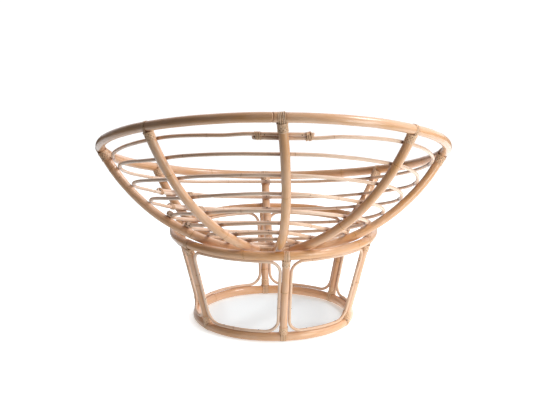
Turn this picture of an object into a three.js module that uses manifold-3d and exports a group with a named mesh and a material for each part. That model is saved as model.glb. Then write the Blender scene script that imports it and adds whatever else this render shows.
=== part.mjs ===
// A papasan chair frame in rattan: a round bowl seat that lies loose in a separate ring stand.
// Millimetres, +Z up. The front of the chair faces -Y and the high back of the bowl is at +Y.
// The origin is on the floor, under the middle of the bowl's rim.
import * as THREE from 'three';
import { mergeVertices } from 'three/addons/utils/BufferGeometryUtils.js';
import Module from 'manifold-3d';

const wasm = await Module();
wasm.setup();

// Units and shared fits
const degree = Math.PI / 180;
const clearance = 0.3;
const peelThickness = 1.2;
const mergeTolerance = 1e-3;

// Bowl
const rimRadius = 540;
const rimCane = 29;
const bowlDepth = 323;
const seatTilt = 20 * degree;
const ribCane = 28;
const nearRibSkew = 8.1 * degree;
const hubRadius = 65;
const hubCane = 20;

// Where each rib meets the rim, from the nearest one round
const ribAngles = [
	2.3 * degree,
	47.8 * degree,
	93.9 * degree,
	138.1 * degree,
	183.1 * degree,
	228.1 * degree,
	273.9 * degree,
	318.4 * degree,
];

// The winding goes round the inside of the ribs, from the rim down to the hub. Each row is one turn,
// with its shares of the rim's polar angle on ribs 7 and 8 and then 1 to 6.
const windingCane = 11;
const windingFirstRib = 7;
const windingShares = [
	[0.93, 0.93, 0.9042, 0.9263, 0.9143, 0.9205, 0.93, 0.8966],
	[0.8733, 0.8305, 0.8181, 0.8133, 0.7934, 0.8056, 0.8104, 0.7989],
	[0.7653, 0.7175, 0.706, 0.6974, 0.6821, 0.7022, 0.7127, 0.6792],
	[0.6504, 0.5988, 0.5978, 0.5777, 0.5701, 0.5662, 0.58, 0.5614],
	[0.5322, 0.4848, 0.4781, 0.4657, 0.475, 0.4647, 0.47, 0.455],
	[0.434, 0.3776, 0.3747, 0.3469, 0.36, 0.355, 0.36, 0.345],
	[0.32, 0.2713, 0.2742, 0.2397, 0.25, 0.25, 0.25, 0.24],
	[0.22, 0.1765, 0.185, 0.145, 0.15, 0.15, 0.15, 0.145],
];
const windingOverrun = 30;

// Splices of the winding's lengths: the crossing that each lap is centred on, and how long it is
const spliceCrossings = [2, 15, 23, 32, 40];
const spliceLaps = [170, 170, 170, 100, 100];
const lapRamp = 90;
const wrapLength = 20;
const wrapInset = 15;

// Bindings of a rib's end to the rim
const rimStrapWidth = 24;
const rimStrapDrop = 6;
const rimCollarLength = 26;

// Stand
const topRingRadius = 325;
const topRingHeight = 296;
const bottomRingRadius = 252;
const ringCane = 28;
const postCane = 24;
const postAngles = [7 * degree, 66 * degree, 128 * degree, 186.4 * degree, 257 * degree, 305 * degree];
const loopCane = 10;
const loopCornerRadius = 40;
const loopJointGap = 0.6;

// Bindings of a post's end to a ring
const ringStrapWidth = 20;
const ringStrapDrop = 6;
const postCollarLength = 22;
const footFlat = 0.5;

// Facets: sections are regular polygons, and paths are split into straight steps
const rimSides = 10;
const rimSteps = 56;
const ringSides = 8;
const ringSteps = 48;
const hubSteps = 20;
const thickSides = 8;
const thinSides = 6;
const strapSides = 8;
const wrapSides = 3;
const windingStep = 110;
const windingLeastSteps = 3;
const stepSlack = 1e-6;
const bayStep = 12 * degree;
const cornerSteps = 3;
const ribSubsteps = 2;

// Sizes that follow
const rimSection = rimCane / 2;
const ribSection = ribCane / 2;
const hubSection = hubCane / 2;
const windingSection = windingCane / 2;
const ringSection = ringCane / 2;
const postSection = postCane / 2;
const loopSection = loopCane / 2;
const sphereRadius = (rimRadius ** 2 + bowlDepth ** 2) / (2 * bowlDepth);
const rimRise = bowlDepth - sphereRadius;
const rimPolar = Math.acos(-rimRise / sphereRadius);
const hubPolar = Math.asin(hubRadius / sphereRadius);
const windingSphereRadius = sphereRadius - ribSection - clearance - windingSection;
const lapOffset = (windingSection + clearance / 2) / windingSphereRadius;
const bottomRingHeight = ringSection + clearance + peelThickness - footFlat;
const seatReach = sphereRadius + ribSection + clearance + peelThickness + clearance + ringSection;
const bowlCentreHeight = topRingHeight + Math.sqrt(seatReach ** 2 - topRingRadius ** 2);
const standShift = rimRise * Math.sin(seatTilt);
const slantLength = Math.hypot(topRingRadius - bottomRingRadius, topRingHeight - bottomRingHeight);
const postLean = Math.atan2(topRingRadius - bottomRingRadius, topRingHeight - bottomRingHeight);
const rimPhase = ribAngles[0] + Math.PI / rimSteps;
const rimStrap = { width: rimStrapWidth, drop: rimStrapDrop };
const ringStrap = { width: ringStrapWidth, drop: ringStrapDrop };

// Colours and finish
const rattan = { color: 0xd9a56b, roughness: 0.42, metalness: 0 };
const paleRattan = { color: 0xe6bd8d, roughness: 0.42, metalness: 0 };
const peel = { color: 0xcf9a62, roughness: 0.55, metalness: 0 };

// Places. An azimuth starts at the back of the chair, at +Y, and turns towards -X.
function aroundAxis(radius, azimuth, height) {
	return new THREE.Vector3(-radius * Math.sin(azimuth), radius * Math.cos(azimuth), height);
}

// A place on a sphere about the bowl's centre. The polar angle is zero at the bowl's bottom.
function onSphere(radius, polar, azimuth) {
	return aroundAxis(radius * Math.sin(polar), azimuth, -radius * Math.cos(polar));
}

// A place on the cone that the posts lie in, by the distance up its slope from the bottom ring
function onSlant(azimuth, distance) {
	const radius = bottomRingRadius + distance * Math.sin(postLean);
	return aroundAxis(radius, azimuth, bottomRingHeight + distance * Math.cos(postLean));
}

function slantRadius(distance) {
	return bottomRingRadius + distance * Math.sin(postLean);
}

// A line of straight steps, with the direction that the first corner of each section faces
class CaneLine extends THREE.Curve {
	constructor(points, facings) {
		super();
		this.points = points;
		this.facings = facings;
	}

	getSpacedPoints() {
		return this.points;
	}

	computeFrenetFrames() {
		const last = this.points.length - 1;
		const tangents = this.points.map((point, i) => {
			const before = this.points[Math.max(i - 1, 0)];
			const after = this.points[Math.min(i + 1, last)];
			const into = point.clone().sub(before).normalize();
			const out = after.clone().sub(point).normalize();
			return into.add(out).normalize();
		});
		const normals = this.facings.map((facing, i) => {
			const along = tangents[i].clone().multiplyScalar(facing.dot(tangents[i]));
			return facing.clone().sub(along).normalize();
		});
		const binormals = tangents.map((tangent, i) => tangent.clone().cross(normals[i]));
		return { tangents, normals, binormals };
	}
}

function extrudeAlong(shape, points, facings) {
	const extrudePath = new CaneLine(points, facings);
	return new THREE.ExtrudeGeometry(shape, { steps: points.length - 1, extrudePath });
}

function polygon(radius, sides) {
	const corners = [];
	for (let i = 0; i < sides; i++) {
		const angle = 2 * Math.PI * i / sides;
		corners.push(new THREE.Vector2(radius * Math.cos(angle), radius * Math.sin(angle)));
	}
	return new THREE.Shape(corners);
}

function caneAlong(path, radius, sides) {
	return extrudeAlong(polygon(radius, sides), path.points, path.facings);
}

// The radius whose polygon keeps the clearance from a smaller polygon with as many sides
function cutRadius(radius, sides) {
	return radius + clearance / Math.cos(Math.PI / sides);
}

// Solids and cuts
function toSolid(geometry) {
	const bare = geometry.clone();
	bare.deleteAttribute('normal');
	bare.deleteAttribute('uv');
	const merged = mergeVertices(bare, mergeTolerance);
	const vertProperties = new Float32Array(merged.attributes.position.array);
	const triVerts = new Uint32Array(merged.index.array);
	return new wasm.Manifold(new wasm.Mesh({ numProp: 3, vertProperties, triVerts }));
}

function toGeometry(solid) {
	const mesh = solid.getMesh();
	const geometry = new THREE.BufferGeometry();
	geometry.setAttribute('position', new THREE.BufferAttribute(new Float32Array(mesh.vertProperties), 3));
	geometry.setIndex(new THREE.BufferAttribute(new Uint32Array(mesh.triVerts), 1));
	geometry.computeVertexNormals();
	return geometry;
}

function addPiece(group, name, geometry, finish) {
	const piece = new THREE.Mesh(geometry, new THREE.MeshStandardMaterial(finish));
	piece.name = name;
	group.add(piece);
	return piece;
}

// Closed rings lie flat about the Z axis, with a corner of their path at the phase
function ringGeometry(ring, section) {
	const geometry = new THREE.TorusGeometry(ring.radius, section, ring.sides, ring.steps);
	const cornerTurn = ring.phase + Math.PI / 2;
	return geometry.rotateZ(cornerTurn).translate(0, 0, ring.height);
}

// A place on the straight steps of a ring
function onRing(ring, azimuth) {
	const step = 2 * Math.PI / ring.steps;
	const past = THREE.MathUtils.euclideanModulo(azimuth - ring.phase, step);
	const radius = ring.radius * Math.cos(step / 2) / Math.cos(past - step / 2);
	return aroundAxis(radius, azimuth, ring.height);
}

// The stretch of a ring that a strap covers, with the ring's own corners in it
function ringStretch(ring, azimuth, width) {
	const step = 2 * Math.PI / ring.steps;
	const half = width / 2 / ring.radius;
	const points = [onRing(ring, azimuth - half)];
	const firstCorner = Math.ceil((azimuth - half - ring.phase) / step);
	const lastCorner = Math.floor((azimuth + half - ring.phase) / step);
	for (let corner = firstCorner; corner <= lastCorner; corner++) {
		points.push(onRing(ring, ring.phase + corner * step));
	}
	points.push(onRing(ring, azimuth + half));
	return points;
}

// The outline of a strap: round over the ring, then drawn in to the cane that it ties
function strapShape(ringSectionRadius, caneSection, drop) {
	const outer = ringSectionRadius + clearance + peelThickness;
	const collar = (caneSection + clearance + peelThickness) * Math.cos(Math.PI / thickSides);
	const corners = [];
	for (let i = 0; i <= strapSides; i++) {
		const angle = Math.PI * (i / strapSides - 1 / 2);
		corners.push(new THREE.Vector2(outer * Math.cos(angle), outer * Math.sin(angle)));
	}
	corners.push(new THREE.Vector2(-outer - drop, collar));
	corners.push(new THREE.Vector2(-outer - drop, -collar));
	return new THREE.Shape(corners);
}

// A binding ties a cane's end to a ring: a strap over the ring and a collar round the cane
function bindingSolid(ring, section, azimuth, strap, collarPath, caneSection) {
	const collarOuter = caneSection + clearance + peelThickness;
	const stretch = ringStretch(ring, azimuth, strap.width);
	const collarEnd = collarPath.points.length - 1;
	const endStep = collarPath.points[collarEnd].clone().sub(collarPath.points[collarEnd - 1]);
	const outline = strapShape(section, caneSection, strap.drop);
	const band = extrudeAlong(outline, stretch, stretch.map(() => endStep));
	const collar = caneAlong(collarPath, collarOuter, thickSides);
	const ringCut = ringGeometry(ring, cutRadius(section, ring.sides));
	const caneCut = caneAlong(extended(collarPath), cutRadius(caneSection, thickSides), thickSides);
	return toSolid(band).add(toSolid(collar)).subtract(toSolid(ringCut)).subtract(toSolid(caneCut));
}

// The same path with its first point moved back past the collar's open end
function extended(path) {
	const overrun = path.points[0].clone().sub(path.points[1]).normalize().multiplyScalar(peelThickness);
	const points = [path.points[0].clone().add(overrun), ...path.points.slice(1)];
	return { points, facings: path.facings };
}

// Bowl pieces, about the bowl's own centre with its opening up
// The rim's straight steps touch its true circle at their middles, one of which is at the near rib
const rim = {
	radius: rimRadius / Math.cos(Math.PI / rimSteps),
	height: rimRise,
	sides: rimSides,
	steps: rimSteps,
	phase: rimPhase,
};
const hub = {
	radius: hubRadius,
	height: -sphereRadius * Math.cos(hubPolar),
	sides: thickSides,
	steps: hubSteps,
	phase: 0,
};

function ribAzimuth(number, polar) {
	const skew = number === 1 ? nearRibSkew * (1 - polar / rimPolar) : 0;
	return ribAngles[number - 1] + skew;
}

// Where the winding crosses the ribs, in order. It stays below the ribs' collars.
const crossings = windingShares.flat().map((share, i) => {
	const place = windingFirstRib - 1 + i;
	const number = place % ribAngles.length + 1;
	const collarReach = (rimSection + rimCollarLength + clearance + windingSection) / sphereRadius;
	const polar = Math.min(share * rimPolar, rimPolar - collarReach);
	const turns = Math.floor(place / ribAngles.length);
	return { number, polar, azimuth: ribAzimuth(number, polar) + 2 * Math.PI * turns };
});

function ribPath(number, polars) {
	const points = polars.map((polar) => onSphere(sphereRadius, polar, ribAzimuth(number, polar)));
	return { points, facings: points.map((point) => point.clone().normalize()) };
}

function spread(stops, substeps) {
	const values = [stops[0]];
	for (let i = 1; i < stops.length; i++) {
		for (let j = 1; j <= substeps; j++) {
			values.push(THREE.MathUtils.lerp(stops[i - 1], stops[i], j / substeps));
		}
	}
	return values;
}

// The polar angles of a rib's corners: its two ends, its crossings, and even steps between
function ribPolars(number) {
	const start = hubPolar + (hubSection + clearance) / sphereRadius;
	const own = crossings.filter((crossing) => crossing.number === number);
	return spread([start, ...own.map((crossing) => crossing.polar).toReversed(), rimPolar], ribSubsteps);
}

function ribGeometry(number) {
	const rib = caneAlong(ribPath(number, ribPolars(number)), ribSection, thickSides);
	const rimCut = ringGeometry(rim, cutRadius(rimSection, rimSides));
	return toGeometry(toSolid(rib).subtract(toSolid(rimCut)));
}

function rimBindingGeometry(number) {
	const collarStart = rimPolar - (rimSection + rimCollarLength) / sphereRadius;
	const path = ribPath(number, [collarStart, ...ribPolars(number).filter((polar) => polar > collarStart)]);
	const azimuth = ribAzimuth(number, rimPolar);
	return toGeometry(bindingSolid(rim, rimSection, azimuth, rimStrap, path, ribSection));
}

// The polar angle of the winding's middle, which goes over smoothly from each crossing to the next
function evenPolar(azimuth) {
	const last = crossings.length - 1;
	const found = crossings.findIndex((crossing) => crossing.azimuth > azimuth);
	const next = Math.max(found < 0 ? last : found, 1);
	const before = crossings[next - 1];
	const after = crossings[next];
	const share = THREE.MathUtils.smoothstep(azimuth, before.azimuth, after.azimuth);
	return THREE.MathUtils.lerp(before.polar, after.polar, share);
}

function windingRadius(azimuth) {
	return windingSphereRadius * Math.sin(evenPolar(azimuth));
}

const splices = spliceCrossings.map((crossing, index) => {
	const middle = crossings[crossing].azimuth;
	const radius = windingRadius(middle);
	const half = spliceLaps[index] / 2 / radius;
	return { middle, radius, start: middle - half, end: middle + half, ramp: lapRamp / radius };
});

// The winding is made of lengths. Where two of them meet they lie side by side over a lap: the outer
// length ends above the line, and the next one starts below it.
function windingLength(index) {
	const first = crossings[0].azimuth;
	const last = crossings.at(-1).azimuth;
	const before = splices[index - 1];
	const after = splices[index];
	return {
		before,
		after,
		start: before ? before.start : first - windingOverrun / windingRadius(first),
		end: after ? after.end : last + windingOverrun / windingRadius(last),
	};
}

function windingPoint(length, azimuth) {
	const { before, after } = length;
	const low = before ? THREE.MathUtils.clamp(1 - (azimuth - before.end) / before.ramp, 0, 1) : 0;
	const high = after ? THREE.MathUtils.clamp(1 - (after.start - azimuth) / after.ramp, 0, 1) : 0;
	return onSphere(windingSphereRadius, evenPolar(azimuth) + lapOffset * (high - low), azimuth);
}

// Azimuths of a length's corners: where it crosses a rib, the ends of its laps, and even steps between
function windingAzimuths(length) {
	const stops = crossings.map((crossing) => crossing.azimuth);
	for (const splice of [length.before, length.after]) {
		if (splice) {
			stops.push(splice.start, splice.end);
		}
	}
	const inside = stops.filter((azimuth) => azimuth > length.start && azimuth < length.end);
	const ends = [length.start, ...inside.sort((a, b) => a - b), length.end];
	const bay = 2 * Math.PI / ribAngles.length;
	const azimuths = [length.start];
	for (let i = 1; i < ends.length; i++) {
		const radius = windingRadius((ends[i - 1] + ends[i]) / 2);
		const step = Math.min(windingStep / radius, bay / windingLeastSteps);
		const count = Math.ceil((ends[i] - ends[i - 1]) / step - stepSlack);
		azimuths.push(...spread([ends[i - 1], ends[i]], Math.max(count, 1)).slice(1));
	}
	return azimuths;
}

function windingPath(length, azimuths) {
	const points = azimuths.map((azimuth) => windingPoint(length, azimuth));
	return { points, facings: points.map((point) => point.clone().normalize()) };
}

// A place on the straight steps of a length
function onWinding(length, azimuths, azimuth) {
	const next = azimuths.findIndex((corner) => corner > azimuth);
	const before = azimuths[next - 1];
	const after = azimuths[next];
	const past = Math.sin(azimuth - before);
	const share = past / (past + Math.sin(after - azimuth));
	return windingPoint(length, before).lerp(windingPoint(length, after), share);
}

// A splice wrap goes round both canes of a lap, near one of its ends, and bends where they bend
function spliceWrapGeometry(index, place) {
	const splice = splices[index];
	const lengths = [windingLength(index), windingLength(index + 1)];
	const half = wrapLength / 2 / splice.radius;
	const outer = windingSection + clearance + peelThickness;
	const offset = lapOffset * windingSphereRadius;
	const corners = [];
	for (const side of [1, -1]) {
		for (let i = 0; i <= wrapSides; i++) {
			const angle = Math.PI * i / wrapSides;
			const across = offset + outer * Math.sin(angle);
			corners.push(new THREE.Vector2(outer * Math.cos(angle), across).multiplyScalar(side));
		}
	}
	const lapEnd = place ? splice.end : splice.start;
	const middle = lapEnd + (1 - 2 * place) * wrapInset / splice.radius;
	const canes = lengths.map((length) => {
		const azimuths = windingAzimuths(length);
		const low = azimuths.findLastIndex((azimuth) => azimuth < splice.start - splice.ramp);
		const high = azimuths.findIndex((azimuth) => azimuth > splice.end + splice.ramp);
		return { length, azimuths: azimuths.slice(Math.max(low, 0), high < 0 ? azimuths.length : high + 1) };
	});
	const bends = canes[0].azimuths.filter((azimuth) => Math.abs(azimuth - middle) < half);
	const stops = [middle - half, ...bends, middle + half];
	const points = stops.map((azimuth) => {
		const [first, last] = canes.map((cane) => onWinding(cane.length, cane.azimuths, azimuth));
		return first.lerp(last, 1 / 2);
	});
	const facings = points.map((point) => point.clone().normalize());
	let band = toSolid(extrudeAlong(new THREE.Shape(corners), points, facings));
	for (const cane of canes) {
		const path = windingPath(cane.length, cane.azimuths);
		const cut = caneAlong(path, cutRadius(windingSection, thinSides), thinSides);
		band = band.subtract(toSolid(cut));
	}
	return toGeometry(band);
}

function addBowl(chair) {
	const bowl = new THREE.Group();
	bowl.position.set(0, standShift, bowlCentreHeight);
	bowl.rotation.x = seatTilt;
	chair.add(bowl);
	addPiece(bowl, 'bowl_rim', ringGeometry(rim, rimSection), rattan);
	addPiece(bowl, 'bowl_hub_ring', ringGeometry(hub, hubSection), peel);
	for (let number = 1; number <= ribAngles.length; number++) {
		addPiece(bowl, `bowl_rib_${number}`, ribGeometry(number), rattan);
		addPiece(bowl, `rim_binding_${number}`, rimBindingGeometry(number), peel);
	}
	for (let index = 0; index <= splices.length; index++) {
		const length = windingLength(index);
		const path = windingPath(length, windingAzimuths(length));
		const cane = caneAlong(path, windingSection, thinSides);
		addPiece(bowl, `bowl_winding_${index + 1}`, cane, paleRattan);
	}
	for (let index = 0; index < splices.length; index++) {
		addPiece(bowl, `splice_wrap_${index + 1}_start`, spliceWrapGeometry(index, 0), peel);
		addPiece(bowl, `splice_wrap_${index + 1}_end`, spliceWrapGeometry(index, 1), peel);
	}
}

// Stand pieces, about the stand's own axis
const topRing = {
	radius: topRingRadius,
	height: topRingHeight,
	sides: ringSides,
	steps: ringSteps,
	phase: 0,
};
const bottomRing = {
	radius: bottomRingRadius,
	height: bottomRingHeight,
	sides: ringSides,
	steps: ringSteps,
	phase: 0,
};

function postPath(azimuth, from, to, count) {
	const foot = onRing(bottomRing, azimuth);
	const head = onRing(topRing, azimuth);
	const direction = head.clone().sub(foot).normalize();
	const facing = aroundAxis(1, azimuth + Math.PI / 2, 0);
	const distances = spread([from, to], count);
	const points = distances.map((distance) => foot.clone().addScaledVector(direction, distance));
	return { points, facings: points.map(() => facing) };
}

function postLength(azimuth) {
	return onRing(bottomRing, azimuth).distanceTo(onRing(topRing, azimuth));
}

function postGeometry(azimuth) {
	const post = caneAlong(postPath(azimuth, 0, postLength(azimuth), 1), postSection, thickSides);
	const topCut = ringGeometry(topRing, cutRadius(ringSection, ringSides));
	const bottomCut = ringGeometry(bottomRing, cutRadius(ringSection, ringSides));
	return toGeometry(toSolid(post).subtract(toSolid(topCut)).subtract(toSolid(bottomCut)));
}

function topBindingGeometry(azimuth) {
	const length = postLength(azimuth);
	const path = postPath(azimuth, length - ringSection - postCollarLength, length, 1);
	return toGeometry(bindingSolid(topRing, ringSection, azimuth, ringStrap, path, postSection));
}

// The chair stands on these straps, which are worn flat on the floor
function bottomBindingGeometry(azimuth) {
	const path = postPath(azimuth, ringSection + postCollarLength, 0, 1);
	const solid = bindingSolid(bottomRing, ringSection, azimuth, ringStrap, path, postSection);
	return toGeometry(solid.trimByPlane([0, 0, 1], 0));
}

// A loop is one thin cane bent round its bay, with its two ends meeting on the bottom ring
function loopGeometry(left, right) {
	const sideOffset = postSection + clearance + loopSection;
	const edgeOffset = ringSection + clearance + loopSection;
	const low = edgeOffset;
	const high = slantLength - edgeOffset;
	const places = [];

	function addCorner(post, towards, edge, inward, goingUp) {
		for (let i = 0; i <= cornerSteps; i++) {
			const turn = (goingUp ? i : cornerSteps - i) / cornerSteps * Math.PI / 2;
			const across = sideOffset + loopCornerRadius * (1 - Math.sin(turn));
			const distance = edge + inward * loopCornerRadius * (1 - Math.cos(turn));
			places.push([post + towards * across / slantRadius(distance), distance]);
		}
	}

	function addRun(distance, from, to) {
		const count = Math.ceil(Math.abs(to - from) / bayStep);
		spread([from, to], count).slice(1, -1).forEach((azimuth) => places.push([azimuth, distance]));
	}

	const cornerAcross = sideOffset + loopCornerRadius;
	const middle = (left + right) / 2;
	const joint = loopJointGap / 2 / slantRadius(low);
	places.push([middle + joint, low]);
	addRun(low, middle + joint, right - cornerAcross / slantRadius(low));
	addCorner(right, -1, low, 1, true);
	addCorner(right, -1, high, -1, false);
	addRun(high, right - cornerAcross / slantRadius(high), left + cornerAcross / slantRadius(high));
	addCorner(left, 1, high, -1, true);
	addCorner(left, 1, low, 1, false);
	addRun(low, left + cornerAcross / slantRadius(low), middle - joint);
	places.push([middle - joint, low]);

	const points = places.map(([azimuth, distance]) => onSlant(azimuth, distance));
	const outwards = places.map(([azimuth]) => {
		const rise = -Math.sin(postLean);
		return aroundAxis(Math.cos(postLean), azimuth, rise);
	});
	const facings = points.map((point, i) => {
		const before = points[Math.max(i - 1, 0)];
		const after = points[Math.min(i + 1, points.length - 1)];
		return after.clone().sub(before).cross(outwards[i]).normalize();
	});
	return caneAlong({ points, facings }, loopSection, thinSides);
}

function addStand(chair) {
	const stand = new THREE.Group();
	stand.position.set(0, standShift, 0);
	chair.add(stand);
	addPiece(stand, 'stand_top_ring', ringGeometry(topRing, ringSection), rattan);
	addPiece(stand, 'stand_bottom_ring', ringGeometry(bottomRing, ringSection), rattan);
	postAngles.forEach((azimuth, index) => {
		const next = postAngles[index + 1] ?? postAngles[0] + 2 * Math.PI;
		addPiece(stand, `stand_post_${index + 1}`, postGeometry(azimuth), rattan);
		addPiece(stand, `top_binding_${index + 1}`, topBindingGeometry(azimuth), peel);
		addPiece(stand, `foot_binding_${index + 1}`, bottomBindingGeometry(azimuth), peel);
		addPiece(stand, `stand_loop_${index + 1}`, loopGeometry(azimuth, next), paleRattan);
	});
}

const chair = new THREE.Group();
addStand(chair);
addBowl(chair);

export default chair;
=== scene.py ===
# %% [markdown]
# A papasan chair is a shallow round bowl of rattan that lies loose in a ring stand. It is seen
# here bare, from behind. Its pieces are canes: long round stems of a climbing palm, peeled,
# bent in steam, nailed, bound with flat strips of their own peel, and lacquered. The solid
# model gives every cane its place. This notebook gives each one its roundness, its growth
# rings, its fibres and its bindings, and reads only that model.
# %% Load the frame
import math

import bpy
import numpy as np
from mathutils import Matrix, Vector


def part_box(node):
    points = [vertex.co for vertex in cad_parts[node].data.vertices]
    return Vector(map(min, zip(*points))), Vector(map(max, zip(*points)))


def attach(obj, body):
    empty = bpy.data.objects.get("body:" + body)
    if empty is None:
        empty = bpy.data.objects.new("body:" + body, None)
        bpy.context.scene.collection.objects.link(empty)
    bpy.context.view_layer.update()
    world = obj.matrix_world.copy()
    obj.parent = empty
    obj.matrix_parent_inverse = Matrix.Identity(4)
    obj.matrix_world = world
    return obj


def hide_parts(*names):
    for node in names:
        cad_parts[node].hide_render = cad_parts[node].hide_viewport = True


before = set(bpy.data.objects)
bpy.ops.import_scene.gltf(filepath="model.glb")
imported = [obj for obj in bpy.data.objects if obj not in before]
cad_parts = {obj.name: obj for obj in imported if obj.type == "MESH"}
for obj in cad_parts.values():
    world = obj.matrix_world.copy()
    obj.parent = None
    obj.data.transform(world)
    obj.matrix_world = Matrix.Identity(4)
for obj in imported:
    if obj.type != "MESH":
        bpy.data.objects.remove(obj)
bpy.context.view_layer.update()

# %% [markdown]
# The camera comes first, because the picture's framing decides which side of each cane gets
# the most care. The place and the heading were found by fitting the rim, the rings and the
# ribs to the photograph. A lens can be given in millimetres on a 36 mm wide sensor, so the
# focal length in pixels is turned into that. The slight roll is the photograph's own.
# %% Camera
PICTURE_WIDTH = 547
FOCAL_PIXELS = 1207.8
SENSOR_WIDTH = 36.0
CAMERA_PLACE = Vector((0.0016, 3.7352, 1.2698))
CAMERA_YAW = 0.0004
CAMERA_PITCH = -0.2255
CAMERA_ROLL = 0.0019

heading = Vector((-math.sin(CAMERA_YAW), -math.cos(CAMERA_YAW), math.tan(CAMERA_PITCH))).normalized()
level_right = heading.cross(Vector((0, 0, 1))).normalized()
level_up = level_right.cross(heading)
right = math.cos(CAMERA_ROLL) * level_right + math.sin(CAMERA_ROLL) * level_up
up = right.cross(heading)

camera_data = bpy.data.cameras.new("photo_camera")
camera_data.sensor_width = SENSOR_WIDTH
camera_data.lens = FOCAL_PIXELS / PICTURE_WIDTH * SENSOR_WIDTH
camera = bpy.data.objects.new("photo_camera", camera_data)
turn = Matrix((right, up, -heading)).transposed()
camera.matrix_world = Matrix.Translation(CAMERA_PLACE) @ turn.to_4x4()
bpy.context.collection.objects.link(camera)
bpy.context.scene.camera = camera
print("camera: lens %.1f mm, heading %s" % (camera_data.lens, tuple(round(v, 4) for v in heading)))

# %% [markdown]
# Every size in this notebook is the solid model's own, in metres. It is written once more
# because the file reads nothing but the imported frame. The bowl is a piece of a sphere, so most
# places on it need only two angles: the azimuth, from the back of the chair towards -X, and the
# polar angle, from the bottom of the bowl. How wide and how deep it is give the sphere's radius.
# %% Sizes of the bowl
FULL_TURN = 2 * math.pi
RIM_RADIUS = 0.540
RIM_CANE = 0.029
BOWL_DEPTH = 0.323
SEAT_TILT = math.radians(20)
RIB_CANE = 0.028

SPHERE_RADIUS = (RIM_RADIUS**2 + BOWL_DEPTH**2) / (2 * BOWL_DEPTH)
RIM_RISE = BOWL_DEPTH - SPHERE_RADIUS
RIM_POLAR = math.acos(-RIM_RISE / SPHERE_RADIUS)
print("bowl: sphere of radius %.4f m, up to %.1f degrees" % (SPHERE_RADIUS, math.degrees(RIM_POLAR)))

# %% [markdown]
# The bowl isn't fastened to the stand: its ribs rest on the bindings of the top ring. The height
# at which it rests could be measured in the photograph, but it is worked out here, from the
# ring's radius and what lies between a rib's middle and the ring's, so that nothing can float.
# %% Sizes of the stand
CLEARANCE = 0.0003
PEEL_THICKNESS = 0.0012
TOP_RING_RADIUS = 0.325
TOP_RING_HEIGHT = 0.296
BOTTOM_RING_RADIUS = 0.252
RING_CANE = 0.028
FOOT_FLAT = 0.0005

BOTTOM_RING_HEIGHT = RING_CANE / 2 + CLEARANCE + PEEL_THICKNESS - FOOT_FLAT
SEAT_REACH = SPHERE_RADIUS + RIB_CANE / 2 + RING_CANE / 2 + PEEL_THICKNESS + 2 * CLEARANCE
BOWL_CENTRE_HEIGHT = TOP_RING_HEIGHT + math.sqrt(SEAT_REACH**2 - TOP_RING_RADIUS**2)
STAND_SHIFT = RIM_RISE * math.sin(SEAT_TILT)
print("the bowl's sphere has its centre %.4f m above the floor" % BOWL_CENTRE_HEIGHT)

# %% [markdown]
# A mistyped size would show as a piece that lies beside its solid. Three boxes of the frame are
# enough to catch that early: the rim's width, the top ring's height and the stand's axis. The
# solid rim is made of straight steps whose corners lie just outside its circle, so it is nearly
# two millimetres wider than the round one.
# %% Compare the sizes with the frame
low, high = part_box("bowl_rim")
print("rim across: %.4f m in the frame, %.4f m here" % (high.x - low.x, 2 * RIM_RADIUS + RIM_CANE))
low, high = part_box("stand_top_ring")
print("top ring's middle: %.4f m in the frame, %.4f m here" % ((low.z + high.z) / 2, TOP_RING_HEIGHT))
low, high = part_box("stand_bottom_ring")
print("stand's axis: y = %.4f m in the frame, %.4f m here" % ((low.y + high.y) / 2, STAND_SHIFT))

# %% [markdown]
# Places on the chair come from three small functions. All of them take arrays, so that one call
# gives a whole line of points. The bowl is worked out level and about the centre of its sphere,
# and to_chair() then leans it back and lifts it into the stand.
# %% Places on the chair
LEAN = np.array(
    (
        (1, 0, 0),
        (0, math.cos(SEAT_TILT), -math.sin(SEAT_TILT)),
        (0, math.sin(SEAT_TILT), math.cos(SEAT_TILT)),
    )
)
BOWL_CENTRE = np.array((0, STAND_SHIFT, BOWL_CENTRE_HEIGHT))
STAND_AXIS = np.array((0, STAND_SHIFT, 0))


def around_axis(radius, azimuth, height):
    """Points at a radius from the Z axis. The azimuth starts at +Y and turns towards -X."""
    radius, azimuth, height = np.broadcast_arrays(radius, azimuth, height)
    return np.stack([-radius * np.sin(azimuth), radius * np.cos(azimuth), height], axis=-1)


def on_sphere(radius, polar, azimuth):
    """Points on a sphere about the bowl's centre. The polar angle is zero at its bottom."""
    polar = np.asarray(polar, float)
    return around_axis(radius * np.sin(polar), azimuth, -radius * np.cos(polar))


def to_chair(points):
    """Takes points of the level bowl to where the bowl rests in the stand."""
    return points @ LEAN.T + BOWL_CENTRE


def unit(vectors):
    """Vectors, one or many, scaled to a length of one."""
    vectors = np.asarray(vectors, float)
    return vectors / np.linalg.norm(vectors, axis=-1, keepdims=True)


print("hub's middle:", to_chair(on_sphere(SPHERE_RADIUS, 0, 0)).round(4))

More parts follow.
